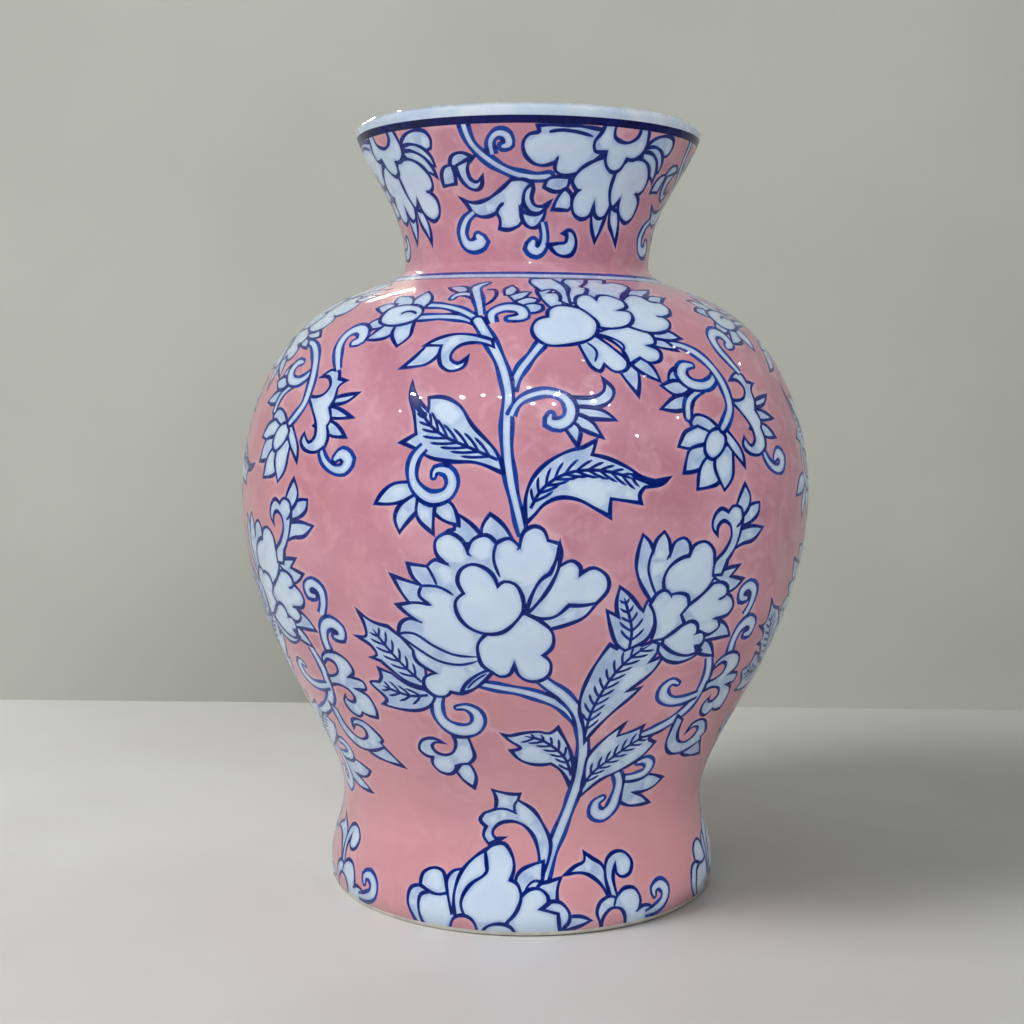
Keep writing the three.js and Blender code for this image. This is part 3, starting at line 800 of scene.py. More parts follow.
def neck_scroll():
    """The stem, spray and curls on the neck, beside its flower."""
    stem(1.7, (-20.6, 338), (-18.8, 328.6), (-13, 321.6), (-5, 316.8), (2, 315.4), (7.6, 315.8),
         line=1.6)
    band((-12, 324, 1.2), (-12.2, 329, 1.5), (-9.8, 331.8, 1.8), (-6.8, 331, 2.2), (-6.2, 328, 2.2),
         (-8.2, 327, 1.2), line=NECK_LINE)
    neck_petal([-28.6, 320.4], (-27, 324), (-23, 325.2), [-19.2, 323.2], (-22, 320.6), (-25.6, 319.6))
    neck_petal([-33.6, 312.8], (-33.4, 316.6), (-31.4, 319.8), [-28, 320.8], (-27.4, 317.4),
               [-28, 313.4])
    neck_petal([-26, 320.4], (-25.6, 315.4), (-22.8, 311.6), (-19.4, 310.8), (-17.4, 312.6),
               [-16.8, 315.8], (-19.4, 313.8), (-21.6, 315.2), (-22, 318.4), (-20.8, 321.6),
               [-18.6, 323.6])
    neck_petal([-27.2, 307.8], (-22, 306), (-16, 307.2), (-11, 310.2), [-6.4, 314.2], (-1, 314.4),
               [1.6, 312.8], (-0.9, 310), (-1.6, 306.2), [-2.6, 303.2], (-1.8, 299.8), [-3.6, 297.2],
               (-7.6, 295.8), [-11.8, 296.2], (-11.4, 299.4), [-12.8, 302], (-16, 300.8), (-20, 300.8),
               (-23.4, 302.6), (-24.8, 305))
    ink([-12.8, 302], (-11.4, 304.2), (-9.4, 305.8), line=1.4, start=1)
    neck_petal([-2.6, 303.2], (-0.6, 301.8), (2.4, 301.4), (5.4, 302.2), [7.6, 304.4], (6.6, 300),
               (4.4, 297), (0.6, 296.8), (-2, 299.4))
    neck_petal([1.8, 313], (-1, 310.2), (-1.6, 306), (0.6, 302.6), (4.4, 302), (7, 303.4), [8.6, 305.8],
               (5.6, 304.4), (2.6, 305.2), (1.6, 307.8), (2.2, 310.8))
    band((-22.6, 302.4, 1.2), (-27, 299.2, 1.6), (-29, 295, 2), (-27.6, 291.2, 2.6), (-23.6, 290.2, 3.4),
         (-20.2, 291.8, 3.4), (-21.6, 293.6, 1.8), line=NECK_LINE)
    band((6.2, 298.6, 1), (7.4, 294, 1.4), (6.8, 289.8, 1.8), (4.2, 288, 2.4), (1.8, 289.4, 2.8),
         (2.6, 291.4, 1.6), line=NECK_LINE)
    neck_petal([9.4, 290.4], (13, 291), (17, 291.8), [17.2, 294.2], [15.8, 294.8], (18.4, 296),
               (20.8, 294.4), (21.8, 291), (20.4, 287.6), (16.8, 286.4), (12.6, 287.4))


def paint():
    """Paints every motif, those on top last."""
    for motif in (main_stem, curls_below, side_curls, stem_leaves, hanging_curls, lobed_fan,
                  right_flower, bud_branch, foot_leaf, foot_peony, foot_scroll, upper_stem, big_peony,
                  upper_leaves, fan_curls, shoulder_sprig, lotus, neck_base_sprigs, hanging_spray,
                  shoulder_flower, neck_scroll, neck_flower, plain_rings):
        motif()


# ---------------------------------------------------------------------------------------------
# Cutting the painted sheet into faces.

EDGE = HALF * PLANE
GRID = 3.0  # spacing of the plain faces between the painted lines
ROW = 0.87 * GRID  # and of their rows, as in a net of equal triangles
CLEAR = 0.55 * GRID  # how far the corners of the plain faces keep from the painted lines
SIDE_STEP = 0.4 * GRID  # the least distance between plain points on the quarter's sides
WELD = 0.01  # points of the sheet closer than this are one
DRAWN = (INK, NAVY, SLATE)
FAR = 8.0  # the line distance, in millimetres, of any point at least so far from a line
seam_runs = [run_at(z) for z in seam_heights]


def inside(points, polygons):
    """Which points lie inside any of the polygons, all with the same number of corners."""
    ax, ay = polygons[None, :, :, 0], polygons[None, :, :, 1]
    bx, by = np.roll(ax, -1, axis=2), np.roll(ay, -1, axis=2)
    px, py = points[:, None, None, 0], points[:, None, None, 1]
    spans = (ay > py) != (by > py)
    rise = np.where(by == ay, 1, by - ay)
    crosses = spans & (px < ax + (py - ay) * (bx - ax) / rise)
    return (crosses.sum(axis=2) % 2 == 1).any(axis=1)


def label_faces(centres):
    labels = np.zeros(len(centres), int)
    for label, polygons in painted:
        shape = np.stack(polygons)
        low, high = shape.min(axis=(0, 1)), shape.max(axis=(0, 1))
        near = np.flatnonzero(np.all((centres > low) & (centres < high), axis=1))
        if len(near):
            labels[near[inside(centres[near], shape)]] = label
    return labels


def side_heights(low, high):
    """Where the points go on the quarter's two sides, the same on both, so that quarters join."""
    found = []
    for line in cuts:
        a, b = line[:-1], line[1:]
        for side in (-EDGE, EDGE):
            meets = (a[:, 0] - side) * (b[:, 0] - side) < 0
            t = (side - a[meets, 0]) / (b[meets, 0] - a[meets, 0])
            found.extend(a[meets, 1] + t * (b[meets, 1] - a[meets, 1]))
    kept = [low, high, *seam_runs]
    for s in [*sorted(found), *np.arange(low, high, ROW)]:
        spacing = WELD if s in found else SIDE_STEP
        if low < s < high and min(abs(s - other) for other in kept) > spacing:
            kept.append(s)
    return np.array(sorted(kept))


def tree_of(points):
    """Finds the nearest of these points to any place."""
    tree = KDTree(len(points))
    for i, point in enumerate(points):
        tree.insert(point, i)
    tree.balance()
    return tree


def plain_points(points, low, high):
    """The corners of the plain faces, in staggered rows and clear of the points of the painting."""
    tree = tree_of([(u, s, 0) for u, s in points])
    plain = []
    for row, s in enumerate(np.arange(low + 1, high - 1, ROW)):
        for u in np.arange(-EDGE + GRID * (0.5 + 0.5 * (row % 2)), EDGE - 1, GRID):
            if tree.find((u, s, 0))[2] > CLEAR:
                plain.append((u, s))
    return plain


def wound_alike(verts, triangles):
    """The triangles with their corners all in the same turning order."""
    a, b, c = (verts[triangles[:, i]] for i in range(3))
    flipped = (b[:, 0] - a[:, 0]) * (c[:, 1] - a[:, 1]) < (b[:, 1] - a[:, 1]) * (c[:, 0] - a[:, 0])
    triangles[flipped] = triangles[flipped][:, ::-1]
    return triangles


def cut_sheet():
    """The quarter's points on the sheet, its triangles and the label of each."""
    low, high = run[0], run[-1]
    sides = side_heights(low, high)
    across = np.linspace(-EDGE, EDGE, round(2 * EDGE / GRID) + 1)
    lines = [np.stack([np.full(len(sides), side), sides], axis=1) for side in (-EDGE, EDGE)]
    lines += [np.stack([across, np.full(len(across), s)], axis=1) for s in (low, high, *seam_runs)]
    lines += cuts
    points = np.vstack(lines + cores)
    plain = plain_points(points, low, high)
    starts = np.cumsum([0] + [len(line) for line in lines])
    edges = [(i, i + 1) for a, b in zip(starts, starts[1:]) for i in range(a, b - 1)]
    corners = [Vector(point) for point in np.vstack([points, plain])]
    made = delaunay_2d_cdt(corners, edges, [], 0, WELD)
    verts, triangles = np.array(made[0]), np.array(made[2])
    centres = verts[triangles].mean(axis=1)
    keep = (np.abs(centres[:, 0]) < EDGE) & (centres[:, 1] > low) & (centres[:, 1] < high)
    triangles, centres = triangles[keep], centres[keep]
    used, triangles = np.unique(triangles, return_inverse=True)
    verts, triangles = verts[used], triangles.reshape(-1, 3)
    for s in (low, high, *seam_runs):
        verts[np.abs(verts[:, 1] - s) < 2 * WELD, 1] = s
    return verts, wound_alike(verts, triangles), label_faces(centres)


def line_distance(verts, triangles, labels):
    """How far each point is, in millimetres on the pot, from the nearest edge of a drawn line."""
    drawn = np.isin(labels, DRAWN)
    pairs = np.sort(np.vstack([triangles[:, [0, 1]], triangles[:, [1, 2]], triangles[:, [2, 0]]]),
                    axis=1)
    edges, which, count = np.unique(pairs, axis=0, return_inverse=True, return_counts=True)
    inked = np.bincount(which.ravel(), weights=np.tile(drawn, 3), minlength=len(edges))
    border = edges[(count == 2) & (inked == 1)]
    marks = np.vstack([verts[border[:, 0]], verts[border[:, 1]], verts[border].mean(axis=1)])
    tree = tree_of(np.vstack([on_wall(marks[:, 0] / PLANE + turn, marks[:, 1])[0] for turn in TURNS]))
    places = on_wall(verts[:, 0] / PLANE, verts[:, 1])[0]
    return np.array([min(FAR, tree.find(place)[2]) for place in places])


def paired_sides(verts):
    """The points on the quarter's two sides, in pairs, and the point that stands in for each point."""
    sides = [np.flatnonzero(np.abs(verts[:, 0] - edge) < WELD) for edge in (-EDGE, EDGE)]
    levels = np.sort(verts[np.concatenate(sides), 1])
    levels = levels[np.concatenate([[True], np.diff(levels) > 2 * WELD])]
    nearest = [np.abs(verts[side, 1][:, None] - levels).argmin(axis=1) for side in sides]
    levels = levels[np.intersect1d(*nearest)]
    stand_in = np.arange(len(verts))
    pairs = []
    for side in sides:
        which = np.abs(verts[side, 1][:, None] - levels).argmin(axis=1)
        first = np.array([side[which == level][0] for level in range(len(levels))])
        stand_in[side] = first[which]
        verts[first, 1] = levels
        pairs.append(first)
    return *pairs, stand_in


def whole_skin():
    """The four quarters joined: places, normals, runs, angles, triangles, labels, distances."""
    verts, triangles, labels = cut_sheet()
    distance = line_distance(verts, triangles, labels)
    count = len(verts)
    left, right, stand_in = paired_sides(verts)
    triangles = stand_in[triangles]
    whole = (triangles != np.roll(triangles, 1, axis=1)).all(axis=1)
    triangles, labels = triangles[whole], labels[whole]
    angles = np.concatenate([verts[:, 0] / PLANE + QUARTER * turn for turn in range(4)])
    runs = np.tile(verts[:, 1], 4)
    index = np.arange(count * 4)
    for turn in range(4):
        index[turn * count + right] = ((turn + 1) % 4) * count + left
    faces = np.vstack([index[triangles + turn * count] for turn in range(4)])
    places, normals = on_wall(angles, runs)
    return places, normals, runs, angles, faces, np.tile(labels, 4), np.tile(distance, 4)


# ---------------------------------------------------------------------------------------------
# The pieces.

AROUND = 144  # steps round the pot in the plain inner surfaces
SOFT_TURN = math.radians(40)

inner_wall = outside - wall * np.stack([slopes[:, 1], -slopes[:, 0]], axis=1)
bead_first = np.flatnonzero(outside[:, 1] >= bead_start[1] - 1e-6)[0]


def inner_radius(z):
    rising = inner_wall[: bead_first + 1]
    return float(np.interp(z, rising[:, 1], rising[:, 0]))


def joint_radius(z):
    return (radius_at(run_at(z)) + inner_radius(z + lap)) / 2


def joint_top(z):
    """The top of a section: a tongue that stands up inside the next one."""
    return [(joint_radius(z), z), (joint_radius(z), z + lap)]


def joint_bottom(z):
    return [(joint_radius(z), z + lap), (joint_radius(z), z)]


def inner_run(high, low, step=5):
    """The inner side of the wall, from a height down to another."""
    heights = np.linspace(high, low, max(3, round((high - low) / step) + 1))
    return [(inner_radius(z), z) for z in heights]


def profile_normals(profile):
    """The directions square to each part of a profile, at its start and its end."""
    points = np.array(profile)
    parts = np.diff(points, axis=0)
    parts /= np.linalg.norm(parts, axis=1)[:, None]
    normals = np.stack([parts[:, 1], -parts[:, 0]], axis=1)
    starts, ends = normals.copy(), normals.copy()
    for i, (here, after) in enumerate(zip(normals, normals[1:])):
        if here @ after > math.cos(SOFT_TURN):
            ends[i] = starts[i + 1] = (here + after) / np.linalg.norm(here + after)
    return starts, ends


def turned(radial, angles):
    """Turns (radius, height) values round the pot's axis."""
    around = np.radians(angles)
    radial = np.asarray(radial, float)
    return np.stack(
        [radial[..., 0] * np.sin(around), -radial[..., 0] * np.cos(around), radial[..., 1] + 0 * around],
        axis=-1,
    )


def zipped(before, before_angles, after, after_angles):
    """Triangles between two rings of points that have different numbers of points."""
    i = j = 0
    triangles = []
    while i < len(before) or j < len(after):
        next_before = before_angles[i + 1] if i + 1 < len(before) else before_angles[0] + 360
        next_after = after_angles[j + 1] if j + 1 < len(after) else after_angles[0] + 360
        a, b = before[i % len(before)], after[j % len(after)]
        if j >= len(after) or (i < len(before) and next_before <= next_after):
            i += 1
            triangles.append((a, before[i % len(before)], b))
        else:
            j += 1
            triangles.append((a, after[j % len(after)], b))
    return triangles


class Builder:
    """Collects points, faces, the normal of each face corner, labels and line distances."""

    def __init__(self):
        self.places, self.distance = [], []
        self.faces, self.normals, self.labels = [], [], []

    def add_points(self, places, distance=FAR):
        first = len(self.places)
        self.places.extend(map(tuple, places))
        self.distance.extend(np.broadcast_to(distance, len(places)).tolist())
        return first

    def add_face(self, corners, normals, label):
        self.faces.append(tuple(int(corner) for corner in corners))
        self.normals.extend(map(tuple, normals))
        self.labels.append(label)

    def skin(self, low, high):
        """Adds the painted faces between two runs, and returns their lowest and highest rings."""
        places, normals, runs, angles, faces, labels, distance = SKIN
        middle = runs[faces].mean(axis=1)
        chosen = (middle > low) & (middle < high)
        used, local = np.unique(faces[chosen], return_inverse=True)
        first = self.add_points(places[used], distance[used])
        local = local.reshape(-1, 3) + first
        self.faces.extend(map(tuple, local.tolist()))
        self.normals.extend(map(tuple, normals[faces[chosen]].reshape(-1, 3).tolist()))
        self.labels.extend(labels[chosen].tolist())
        rings = []
        for s in (low, high):
            ring = np.flatnonzero(runs[used] == s)
            ring = ring[np.argsort(angles[used][ring] % 360)]
            rings.append((ring + first, angles[used][ring] % 360))
        return rings

    def rings(self, profile, labels):
        """Adds a turned surface. Returns its rings of points and the normals of its parts."""
        angles = np.arange(AROUND) * 360 / AROUND
        rings = [self.add_points(turned([point] * AROUND, angles)) + np.arange(AROUND)
                 for point in profile]
        starts, ends = profile_normals(profile)
        for part, (start, end) in enumerate(zip(starts, ends)):
            here, after = rings[part], rings[part + 1]
            at_start = turned([start] * AROUND, angles)
            at_end = turned([end] * AROUND, angles)
            for j in range(AROUND):
                k = (j + 1) % AROUND
                corners = (here[j], here[k], after[k], after[j])
                self.add_face(corners, (at_start[j], at_start[k], at_end[k], at_end[j]), labels[part])
        return rings, angles

    def bridge(self, before, before_angles, after, after_angles, normal, label):
        angles = {**dict(zip(before, before_angles)), **dict(zip(after, after_angles))}
        for corners in zipped(before, before_angles, after, after_angles):
            around = [turned(normal, angles[corner]) for corner in corners]
            self.add_face(corners, around, label)

    def build(self, name, node):
        mesh = bpy.data.meshes.new(name)
        mesh.from_pydata((np.array(self.places) * MM).tolist(), [], self.faces)
        looks_used = sorted(set(self.labels))
        for label in looks_used:
            mesh.materials.append(looks[label])
        mesh.polygons.foreach_set("material_index", [looks_used.index(label) for label in self.labels])
        attribute = mesh.attributes.new("line_distance", "FLOAT", "POINT")
        attribute.data.foreach_set("value", self.distance)
        mesh.shade_smooth()
        mesh.normals_split_custom_set([tuple(map(float, normal)) for normal in self.normals])
        mesh.update()
        piece = bpy.data.objects.new(name, mesh)
        bpy.context.scene.collection.objects.link(piece)
        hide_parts(node)
        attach(piece, "root")
        return piece


def part_normal(a, b):
    (ar, az), (br, bz) = a, b
    length = math.hypot(br - ar, bz - az)
    return ((bz - az) / length, (ar - br) / length)


def wall_piece(name, node, low, high, inner, labels, foot_label=LIP):
    """A section of the pot: painted skin outside, and an inner profile from its top to its bottom."""
    made = Builder()
    bottom, top = made.skin(low, high)
    rings, angles = made.rings(inner, labels)
    low_point, high_point = ((float(radius_at(s)), float(height_at(s))) for s in (low, high))
    made.bridge(*top, rings[0], angles, part_normal(high_point, inner[0]), labels[0])
    made.bridge(rings[-1], angles, *bottom, part_normal(inner[-1], low_point), foot_label)
    return made.build(name, node)


def wall_section(name, node, low, high):
    """A plain length of the wall between two joints."""
    inner = joint_top(high) + inner_run(high + lap, low + lap) + joint_bottom(low)
    return wall_piece(name, node, run_at(low), run_at(high), inner, [LIP] * len(inner))


def foot_piece():
    """The lowest section, which stands on a flat unglazed ring and has a ledge for the base."""
    ledge_radius = waist_radius - wall
    inner = joint_top(waist_height) + [(inner_radius(waist_height + lap), waist_height + lap)]
    inner += [(ledge_radius, waist_height), (ledge_radius, floor_height)]
    plain = len(inner)
    inner += [(foot_inner_radius, floor_height), (foot_inner_radius, 1.2), (foot_inner_radius + 1.2, 0),
              foot_edge[0]]
    labels = [LIP] * plain + [LIP, BISCUIT, BISCUIT]
    return wall_piece("foot_skin", "foot_ring", run[0], run_at(waist_height), inner,
                      labels, BISCUIT)


def rim_piece():
    """The rolled rim at the top."""
    low = seam_heights[-1]
    inner = [tuple(point) for point in bead(UP, math.pi - rim_lean, bead_steps // 2)]
    inner += inner_run(inner[-1][1] - 1, low + lap, 2) + joint_bottom(low)
    return wall_piece("mouth_skin", "mouth_rim", run_at(low), run[-1], inner,
                      [LIP] * len(inner))


def base_piece():
    """The disc inside the foot that closes the bottom, glazed inside and bare underneath."""
    low, high = (corner.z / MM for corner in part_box("base_plate"))
    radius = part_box("base_plate")[1].x / MM
    edge, mid, hub = 0.8, 20, 6
    made = Builder()
    rows = [(hub, low), (radius - mid, low), (radius - edge, low),
            (radius - 0.25 * edge, low + 0.25 * edge), (radius, low + edge), (radius, high - edge),
            (radius - edge, high), (radius - mid, high), (hub, high)]
    labels = [BISCUIT] * 5 + [LIP] * 3
    rings, angles = made.rings(rows, labels)
    ends = [(rings[0][::-1], low, -1, BISCUIT), (rings[-1], high, 1, LIP)]
    for ring, z, up, label in ends:
        centre = made.add_points([(0, 0, z)])
        for j in range(AROUND):
            made.add_face((centre, ring[j - 1], ring[j]), [(0, 0, up)] * 3, label)
    return made.build("base_skin", "base_plate")


# ---------------------------------------------------------------------------------------------
# Materials.


def colour(red, green, blue):
    """A screen colour, 0 to 255, as the linear values that Blender uses."""
    parts = [part / 255 for part in (red, green, blue)]
    return (*[((part + 0.055) / 1.055) ** 2.4 if part > 0.04 else part / 12.92 for part in parts], 1)


# A pair of colours is a dark tone and a light one.
PINK = colour(216, 155, 173)
PINK_DEEP = colour(196, 132, 152)
PINK_LIGHT = colour(226, 172, 187)
PINK_WARM = colour(218, 150, 157)
# painted light: the lighter, warmer pink of the brightly lit lower body
PINK_LIT_LOW = colour(231, 168, 173)
PINK_HALO = colour(232, 190, 198)
WHITE = colour(216, 234, 254)
WHITE_COOL = colour(208, 228, 252)
WHITE_BLED = colour(150, 178, 224)
COBALT = colour(0, 27, 114)
COBALT_EDGE = colour(14, 64, 162)
COBALT_DARK = colour(0, 13, 76)
LIP_GLAZE = colour(196, 214, 238), colour(222, 233, 247)
NAVY_GLAZE = colour(0, 6, 66), colour(2, 15, 94)
SLATE_GLAZE = colour(84, 104, 140), colour(120, 136, 168)
BARE_CLAY = colour(216, 212, 204), colour(238, 234, 226)
TABLE_TOP = colour(222, 221, 218), colour(228, 228, 225)
WALL_PAINT = colour(190, 192, 184), colour(196, 198, 190)


class Look:
    """A material made of nodes, and short ways to add them."""

    def __init__(self, name, **shader):
        self.material = bpy.data.materials.new(name)
        self.material.use_nodes = True
        self.nodes = self.material.node_tree.nodes
        self.links = self.material.node_tree.links
        self.shader = self.nodes["Principled BSDF"]
        self.place = self.add("ShaderNodeTexCoord").outputs["Object"]
        self.distance = self.add("ShaderNodeAttribute", attribute_name="line_distance").outputs["Fac"]
        for socket, value in shader.items():
            self.shader.inputs[socket.replace("_", " ")].default_value = value

    def add(self, kind, **settings):
        node = self.nodes.new(kind)
        for setting, value in settings.items():
            setattr(node, setting, value)
        return node

    def plug(self, socket, value):
        if isinstance(value, bpy.types.NodeSocket):
            self.links.new(value, socket)
        else:
            socket.default_value = value

    def noise(self, size, detail, roughness=0.5, warp=0.0):
        """Cloudy values from 0 to 1. The size of the clouds is in millimetres."""
        node = self.add("ShaderNodeTexNoise")
        self.links.new(self.place, node.inputs["Vector"])
        node.inputs["Scale"].default_value = 1 / (size * MM)
        node.inputs["Detail"].default_value = detail
        node.inputs["Roughness"].default_value = roughness
        node.inputs["Distortion"].default_value = warp
        return node.outputs["Fac"]

    def remap(self, value, low, high, to_low=0.0, to_high=1.0):
        node = self.add("ShaderNodeMapRange", clamp=True, interpolation_type="SMOOTHSTEP")
        for socket, given in zip(node.inputs, (value, low, high, to_low, to_high)):
            self.plug(socket, given)
        return node.outputs["Result"]

    def maths(self, operation, first, second):
        node = self.add("ShaderNodeMath", operation=operation)
        self.plug(node.inputs[0], first)
        self.plug(node.inputs[1], second)
        return node.outputs[0]

    def mix(self, amount, first, second):
        node = self.add("ShaderNodeMix", data_type="RGBA")
        self.plug(node.inputs["Factor"], amount)
        self.plug(node.inputs[6], first)
        self.plug(node.inputs[7], second)
        return node.outputs[2]

    def finish(self, base, roughness, height_mm):
        """Plugs in the colour, the roughness and a relief whose height is in millimetres."""
        self.plug(self.shader.inputs["Base Color"], base)
        self.plug(self.shader.inputs["Roughness"], roughness)
        node = self.add("ShaderNodeBump")
        node.inputs["Strength"].default_value = 1
        node.inputs["Distance"].default_value = MM
        self.plug(node.inputs["Height"], height_mm)
        self.links.new(node.outputs["Normal"], self.shader.inputs["Normal"])
        return self.material


GLAZE = {"Coat_Weight": 0.75, "Coat_Roughness": 0.02, "Coat_IOR": 1.45, "Specular_IOR_Level": 0.1}


def ripple(look):
    """The glaze's own slight unevenness, in millimetres."""
    slow = look.maths("MULTIPLY", look.noise(22, 1), 0.16)
    fine = look.maths("MULTIPLY", look.noise(3, 2), 0.012)
    return look.maths("ADD", slow, fine)


def ground_look():
    """The pink ground: sponged on in soft clouds, with painted light that makes it lighter and warmer
    low down, and paler beside the drawn lines.
    """
    look = Look("pink_ground", **GLAZE)
    clouds = look.remap(look.noise(38, 3, 0.55, 0.6), 0.34, 0.68)
    base = look.mix(clouds, PINK_DEEP, PINK)
    sponge = look.remap(look.noise(9, 4, 0.6, 0.8), 0.45, 0.72, 0, 0.55)
    base = look.mix(sponge, base, PINK_LIGHT)
    warm = look.remap(look.noise(60, 1), 0.4, 0.65, 0, 0.5)
    base = look.mix(warm, base, PINK_WARM)
    speckle = look.remap(look.noise(1.6, 2), 0.62, 0.75, 0, 0.25)
    base = look.mix(speckle, base, PINK_LIGHT)
    # Painted light: the lower body is painted lighter and warmer, fading out by the belly, to stand in
    # for the brighter light it gets.
    upright = look.add("ShaderNodeSeparateXYZ")
    look.links.new(look.place, upright.inputs[0])
    low = look.remap(upright.outputs["Z"], 0.03, belly_height * MM, 0.6, 0)
    base = look.mix(low, base, PINK_LIT_LOW)
    near = look.remap(look.distance, 0.1, 1.7, 1, 0)
    patchy = look.remap(look.noise(14, 2), 0.42, 0.62)
    halo = look.maths("MULTIPLY", near, look.maths("MULTIPLY", patchy, 0.5))
    base = look.mix(halo, base, PINK_HALO)
    roughness = look.remap(look.noise(6, 3), 0.3, 0.7, 0.3, 0.42)
    return look.finish(base, roughness, ripple(look))


def enamel_look():
    """White enamel inside the outlines, with the cobalt bled into it near them."""
    look = Look("white_enamel", **GLAZE)
    base = look.mix(look.remap(look.noise(12, 3, 0.5, 0.5), 0.35, 0.68), WHITE_COOL, WHITE)
    near = look.remap(look.distance, 0.0, 1.5, 1, 0)
    bleed = look.maths("MULTIPLY", near, look.remap(look.noise(5, 2), 0.3, 0.7, 0.25, 0.75))
    base = look.mix(bleed, base, WHITE_BLED)
    roughness = look.remap(look.noise(5, 2), 0.3, 0.7, 0.22, 0.32)
    raised = look.remap(look.distance, 0, 0.8, 0, 0.04)
    return look.finish(base, roughness, look.maths("ADD", ripple(look), raised))


def ink_look():
    """Cobalt line: dark where the brush was full, lighter and bluer at its edges."""
    look = Look("cobalt_line", **{**GLAZE, "Coat_Weight": 0.45})
    loaded = look.remap(look.noise(7, 2), 0.3, 0.7, -0.12, 0.16)
    depth = look.remap(look.maths("ADD", look.distance, loaded), 0.02, 0.5)
    base = look.mix(depth, COBALT_EDGE, COBALT)
    pooled = look.remap(look.noise(2.2, 2), 0.55, 0.75, 0, 0.6)
    base = look.mix(pooled, base, COBALT_DARK)
    roughness = look.remap(look.noise(4, 2), 0.3, 0.7, 0.22, 0.34)
    raised = look.remap(look.distance, 0, 0.5, 0, 0.05)
    return look.finish(base, roughness, look.maths("ADD", ripple(look), raised))


def plain_look(name, tones, size, roughness=0.25, **shader):
    """A plain glaze or bare clay that drifts between a dark tone and a light one."""
    look = Look(name, **{**GLAZE, **shader})
    dark, light = tones
    base = look.mix(look.remap(look.noise(size, 3, 0.5, 0.4), 0.35, 0.68), dark, light)
    specks = look.remap(look.noise(1.1, 2), 0.66, 0.74, 0, 0.3)
    base = look.mix(specks, base, dark)
    rough = look.remap(look.noise(5, 2), 0.3, 0.7, roughness - 0.05, roughness + 0.07)
    return look.finish(base, rough, ripple(look))


looks = {
    GROUND: ground_look(),
    ENAMEL: enamel_look(),
    INK: ink_look(),
    LIP: plain_look("white_glaze", LIP_GLAZE, 16),
    NAVY: plain_look("navy_edge", NAVY_GLAZE, 9, Coat_Weight=0.3),
    SLATE: plain_look("slate_line", SLATE_GLAZE, 9),
    BISCUIT: plain_look("bare_foot", BARE_CLAY, 6, 0.7, Coat_Weight=0.0),
}

paint()
SKIN = whole_skin()
foot_piece()
base_piece()
wall_section("belly_skin", "belly", waist_height, belly_height)
wall_section("shoulder_skin", "shoulder", belly_height, neck_height)
wall_section("neck_skin", "neck", neck_height, seam_heights[-1])
rim_piece()

# ---------------------------------------------------------------------------------------------
# The room: a pale table against a pale wall, and soft light with a few small ceiling lamps.

scene = bpy.context.scene
scene.view_settings.view_transform = "Standard"
# Soft parts of the sky: where each is brightest, how narrow it is, and how bright.
WORLD_LOBES = [((0, 0, 1), 1.5, 0.1), ((-0.75, -0.25, 0.6), 3.5, 0.25), ((0.3, -0.9, 0.4), 3, 0.1)]
WORLD_SPREAD = -0.1  # each part ends where the cosine of the angle from its middle is this
WORLD_HORIZON = 0.05
WORLD_SEEN = 0.45  # how bright the camera sees it, past the end of the wall
wall_back = 0.30  # how far the wall stands behind the vase's middle
camera_height = 0.20688
camera_distance = 0.60683
camera_down = math.radians(5.529)
camera_turn = math.radians(0.484)
camera_roll = math.radians(0.481)
SENSOR = 36
FOCAL = 1500 / 1024  # the focal length, in widths of the picture


def stage_plane(name, corners, material):
    mesh = bpy.data.meshes.new(name)
    mesh.from_pydata(corners, [], [(0, 1, 2, 3)])
    mesh.materials.append(material)
    plane = bpy.data.objects.new(name, mesh)
    scene.collection.objects.link(plane)
    return plane


def matt_look(name, tones, size, roughness):
    look = Look(name, Specular_IOR_Level=0.3)
    dark, light = tones
    base = look.mix(look.remap(look.noise(size, 4), 0.35, 0.65), dark, light)
    look.finish(base, roughness, look.maths("MULTIPLY", look.noise(4, 3), 0.02))
    return look


def make_stage():
    """The table and the wall. The wall can be seen through from behind, for the views from there."""
    table_look = matt_look("table_top", TABLE_TOP, 160, 0.45)
    wall_look = matt_look("wall_paint", WALL_PAINT, 220, 0.9)
    back = wall_look.add("ShaderNodeNewGeometry").outputs["Backfacing"]
    clear = wall_look.add("ShaderNodeBsdfTransparent").outputs[0]
    switch = wall_look.add("ShaderNodeMixShader")
    wall_look.plug(switch.inputs[0], back)
    wall_look.links.new(wall_look.shader.outputs[0], switch.inputs[1])
    wall_look.links.new(clear, switch.inputs[2])
    surface = wall_look.nodes["Material Output"].inputs["Surface"]
    wall_look.links.new(switch.outputs[0], surface)
    wide, deep, tall = 4, 4, 3
    floor = [(-wide, -deep, 0), (wide, -deep, 0), (wide, deep, 0), (-wide, deep, 0)]
    upright = [(x, wall_back, z) for x, z in [(-wide, 0), (wide, 0), (wide, tall), (-wide, tall)]]
    table = stage_plane("table", floor, table_look.material)
    wall_plane = stage_plane("wall", upright, wall_look.material)
    return table, wall_plane


